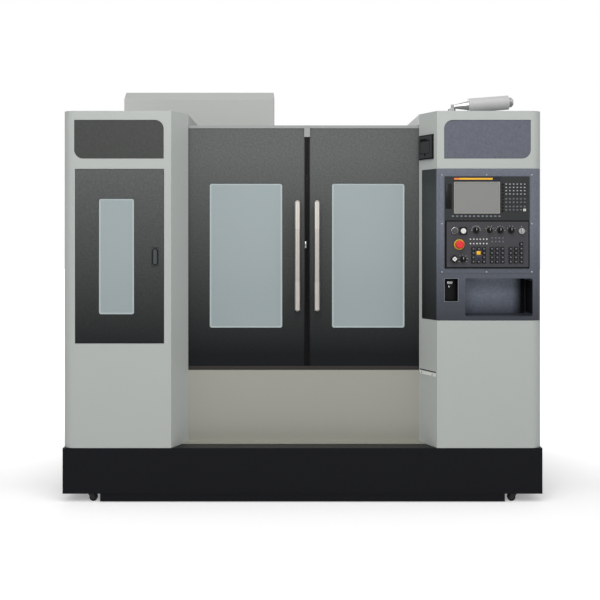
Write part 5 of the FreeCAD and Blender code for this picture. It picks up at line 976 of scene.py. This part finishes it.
# %% Sill bracket
BRACKET_PAINT = coated("bracket_paint", (214, 218, 212), 0.4)
FLAP_RISE, BRACKET_LENGTH, BRACKET_UP, SLIT_UP = 12.3, 150, 634, 648
CHAMFER_FACE = FLAP_FACE - FLAP_RISE
bracket_middle = flap_middle + 10
for name, size, radius, up, finish in (
        ("sill_bracket", (BRACKET_LENGTH, 3, 17), 0.8, BRACKET_UP, BRACKET_PAINT),
        ("bracket_shade", (BRACKET_LENGTH, 2, 5), 0.6, SLIT_UP, GAP_AND_SHADE_BLACK)):
    on_chamfer(name, soft_block(size, radius), bracket_middle, up, CHAMFER_FACE, finish)
for number, along in enumerate((-45, 55)):
    on_chamfer(f"bracket_screw_{number}", SCREW, flap_middle + along, BRACKET_UP,
               CHAMFER_FACE + 3, CHROME, smooth=True)
print("bracket with two screws")

# %% [markdown]
# ## Doors
# A pale edge runs round each window, where the film stops short of the gasket. Both could be
# painted on with a mask, but real borders stay crisp in a close view.

# %% Window edges
GASKET_WIDTH, BAND_WIDTH, OVERLAP, EDGE_RADIUS = 1.5, 8, 10, 12
EDGE_PALE = coated("edge_pale", (176, 187, 188), 0.3)
GASKET = coated("gasket", (30, 31, 32), 0.6, 0.002, 0.1, 0, 0.2)
WINDOWS = {"left_door": "left_door_glass", "right_door": "right_door_glass",
           "tool_access_door": "tool_access_window"}


def window_edges(door, glass):
    """A dark gasket in the opening's rim and a pale band on the sheet just inside it."""
    low, high = box_mm(glass)
    face = box_mm(door)[0][1]
    place, depth = middle_of(glass, face), low[1] - face

    def outline(inset, radius):
        width, height = high[0] - low[0] - 2 * inset, high[2] - low[2] - 2 * inset
        return rounded(width, height, radius)

    rim = outline(OVERLAP, EDGE_RADIUS)
    lip = outline(OVERLAP + GASKET_WIDTH, EDGE_RADIUS - GASKET_WIDTH)
    band = outline(OVERLAP + GASKET_WIDTH + BAND_WIDTH, EDGE_RADIUS / 2)
    seat(f"{door}_gasket", loop(lip, rim, -0.5, depth), place, GASKET, door, False)
    seat(f"{door}_band", loop(band, lip, depth - 0.4, depth), place, EDGE_PALE, door, False)


for door, glass in WINDOWS.items():
    window_edges(door, glass)
print("gasket and band on", len(WINDOWS), "windows")

# %% [markdown]
# Black seals close the gap where the two doors meet, and a small roller catch sits on the left one.
# Each rides on its own door, so the seals part when the doors open.

# %% Door seals and catch
SEAL_WIDTH, SEAL_DEPTH, SEAL_SHORTER = 11, 3, 8
CATCH_ACROSS, CATCH_UP = 18, 1286
for name, across, body in (("left_seal", 19.8, "left_door"), ("right_seal", 32.2, "right_door")):
    low, high = box_mm(body)
    seal = soft_block((SEAL_WIDTH, SEAL_DEPTH, high[2] - low[2] - SEAL_SHORTER), 1.2)
    seat(name, seal, on_front(across, (high[2] + low[2]) / 2, low[1]), GAP_AND_SHADE_BLACK, body)
catch_face = box_mm("left_door")[0][1] - 1.5
roller = spun([(0, 9), (3, 9), (4.5, 7), (4.5, 0), (0, 0)], 20)
for name, shape, up, finish in (("catch_plate", soft_block((9, 3, 34), 1), CATCH_UP, GROUND_STEEL),
                                ("catch_roller", roller, CATCH_UP + 2, CHROME)):
    seat(name, shape, on_front(CATCH_ACROSS, up, catch_face), finish, "left_door")
print("two seals and a catch")

# %% [markdown]
# The tool door opens with a flush paddle, a long pill with a dark seam round it. The seam is a
# border between two pills, which is crisper than a painted line.

# %% Paddle
PADDLE_PLASTIC = coated("paddle_plastic", (56, 61, 63), 0.4)
PADDLE_WIDTH, PADDLE_HEIGHT, SEAM_WIDTH, PILL_STEPS = 28, 86, 5, 10


def pill(inset):
    """A rectangle whose radius is half its width, drawn in by an inset on every side."""
    width, height = PADDLE_WIDTH - 2 * inset, PADDLE_HEIGHT - 2 * inset
    return rounded(width, height, width / 2, PILL_STEPS)


paddle, seam = slab(pill(SEAM_WIDTH), -1.2, 0), loop(pill(SEAM_WIDTH), pill(0), -0.3, 0)
paddle_place = middle_of("paddle_latch", box_mm("paddle_latch")[0][1])
seat("paddle_pill", paddle, paddle_place, PADDLE_PLASTIC, "paddle_latch", False)
seat("paddle_seam", seam, paddle_place, GAP_AND_SHADE_BLACK, "paddle_latch", False)
print("paddle", PADDLE_WIDTH, "by", PADDLE_HEIGHT, "mm")

# %% [markdown]
# Each pull bar is a tube with a slightly thicker grip at both ends. A grip is a sleeve spun with
# flat faces, because smooth shading would round its sharp ends off.

# %% Handle grips
GRIP_RISE, GRIP_WALL, GRIP_END = 0.6, 1, 9
LOWER_JOINT, UPPER_JOINT = 1097, 1367
for side in ("left", "right"):
    low, high = box_mm(f"{side}_door_handle")
    radius = (high[0] - low[0]) / 2
    axis = on_front((low[0] + high[0]) / 2, 0, low[1] + radius)
    for part, bottom, top in (("upper", UPPER_JOINT, high[2] - GRIP_END),
                              ("lower", low[2] + GRIP_END, LOWER_JOINT)):
        inner, outer = radius - GRIP_WALL, radius + GRIP_RISE
        profile = [(inner, bottom), (outer, bottom), (outer, top), (inner, top)]
        sleeve = spun(profile, 48, "z", closed=True)
        seat(f"{side}_{part}_grip", sleeve, axis, GRIP_METAL, f"{side}_door", False)
print("four grips")

# %% [markdown]
# ## Folded covers
# Pleated cloth covers keep chips off the rails. Seen along its run, a cover is an arch over three
# sides. Cloth simulation would blur its crisp creases. So every other crease dips inwards by the
# depth of a fold, on roof and walls alike, and the folds meet in mitred corners. The cover takes
# the place of the rigid one.

# %% Pleats
FOLD, CLOTH, X_PLEATS, Y_PLEATS = 12, 4, 16, 12
ARCH_WIDE = np.array([0, 0, 1, 1, 1, 1, 0, 0])
ARCH_INNER = np.array([0, 0, 0, 0, 1, 1, 1, 1])
ARCH_ROOF = np.array([0, 1, 1, 0, 0, 1, 1, 0])
ARCH_CAPS = np.array([(0, 1, 6, 7), (1, 2, 5, 6), (2, 3, 4, 5)])


def pleated_cover(name, pleats, run):
    """The arch at each crease: outer corners out and inner corners back, joined to the next crease.

    The run is 0 for a cover along X and 1 for one along Y. The box of the CAD cover sets its size.
    """
    low, high = box_mm(name)
    side = 1 - run
    creases = np.linspace(low[run], high[run], 2 * pleats + 1)
    dip = FOLD * (np.arange(len(creases)) % 2)[:, None]
    inset = dip + CLOTH * ARCH_INNER
    points = np.zeros((len(creases), len(ARCH_INNER), 3))
    points[..., run] = creases[:, None]
    points[..., side] = np.where(ARCH_WIDE, high[side] - inset, low[side] + inset)
    points[..., 2] = np.where(ARCH_ROOF, high[2] - inset, low[2])
    skin = grid_faces(len(creases), len(ARCH_INNER))
    last = (len(creases) - 1) * len(ARCH_INNER)
    faces = np.concatenate([skin, ARCH_CAPS, ARCH_CAPS + last])
    cover = add_piece(f"{name}_cloth", points * MM, faces, BELLOWS_CLOTH, None, False)
    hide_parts(name)
    return cover, low * MM, high * MM


for name, pleats, run, fixed, moving, fixed_end in (
        ("x_bellows_left", X_PLEATS, 0, "saddle", "table", 0),
        ("x_bellows_right", X_PLEATS, 0, "saddle", "table", 1),
        ("y_bellows", Y_PLEATS, 1, "machine", "saddle", 0)):
    cover, low, high = pleated_cover(name, pleats, run)
    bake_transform(cover)
print("three folded covers")

# %% [markdown]
# ## Lamp
# The foot of the work lamp is a plated collar with fine ribs. A bump would leave its outline
# smooth, so the profile itself goes up, along and down again for each rib.

# %% Lamp collar
RIBS, RIB_PITCH, RIB_RISE, COLLAR_WALL = 6, 3.4, 0.9, 2
low, high = box_mm("lamp_base")
collar_radius, collar_foot = (high[0] - low[0]) / 2 + 0.2, low[2] + 0.3
rib_starts = np.repeat(np.arange(RIBS), 4)
levels = collar_foot + RIB_PITCH * (rib_starts + np.tile([0, 0.2, 0.7, 0.9], RIBS))
reach = collar_radius + RIB_RISE * np.tile([0, 1, 1, 0], RIBS)
bore = collar_radius - COLLAR_WALL
profile = [(bore, levels[0]), *zip(reach, levels), (bore, levels[-1])]
axis = on_front((low[0] + high[0]) / 2, 0, (low[1] + high[1]) / 2)
seat("lamp_collar", spun(profile, 40, "z", closed=True), axis, CHROME, smooth=False)
print("ribbed collar")

# %% [markdown]
# ## Measure and finish
# The dressed machine must not be larger than the solids, so the boxes of both are written down.

# %% Finish
low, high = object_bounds()
print("visual size", [round(b - a, 4) for a, b in zip(low, high)])
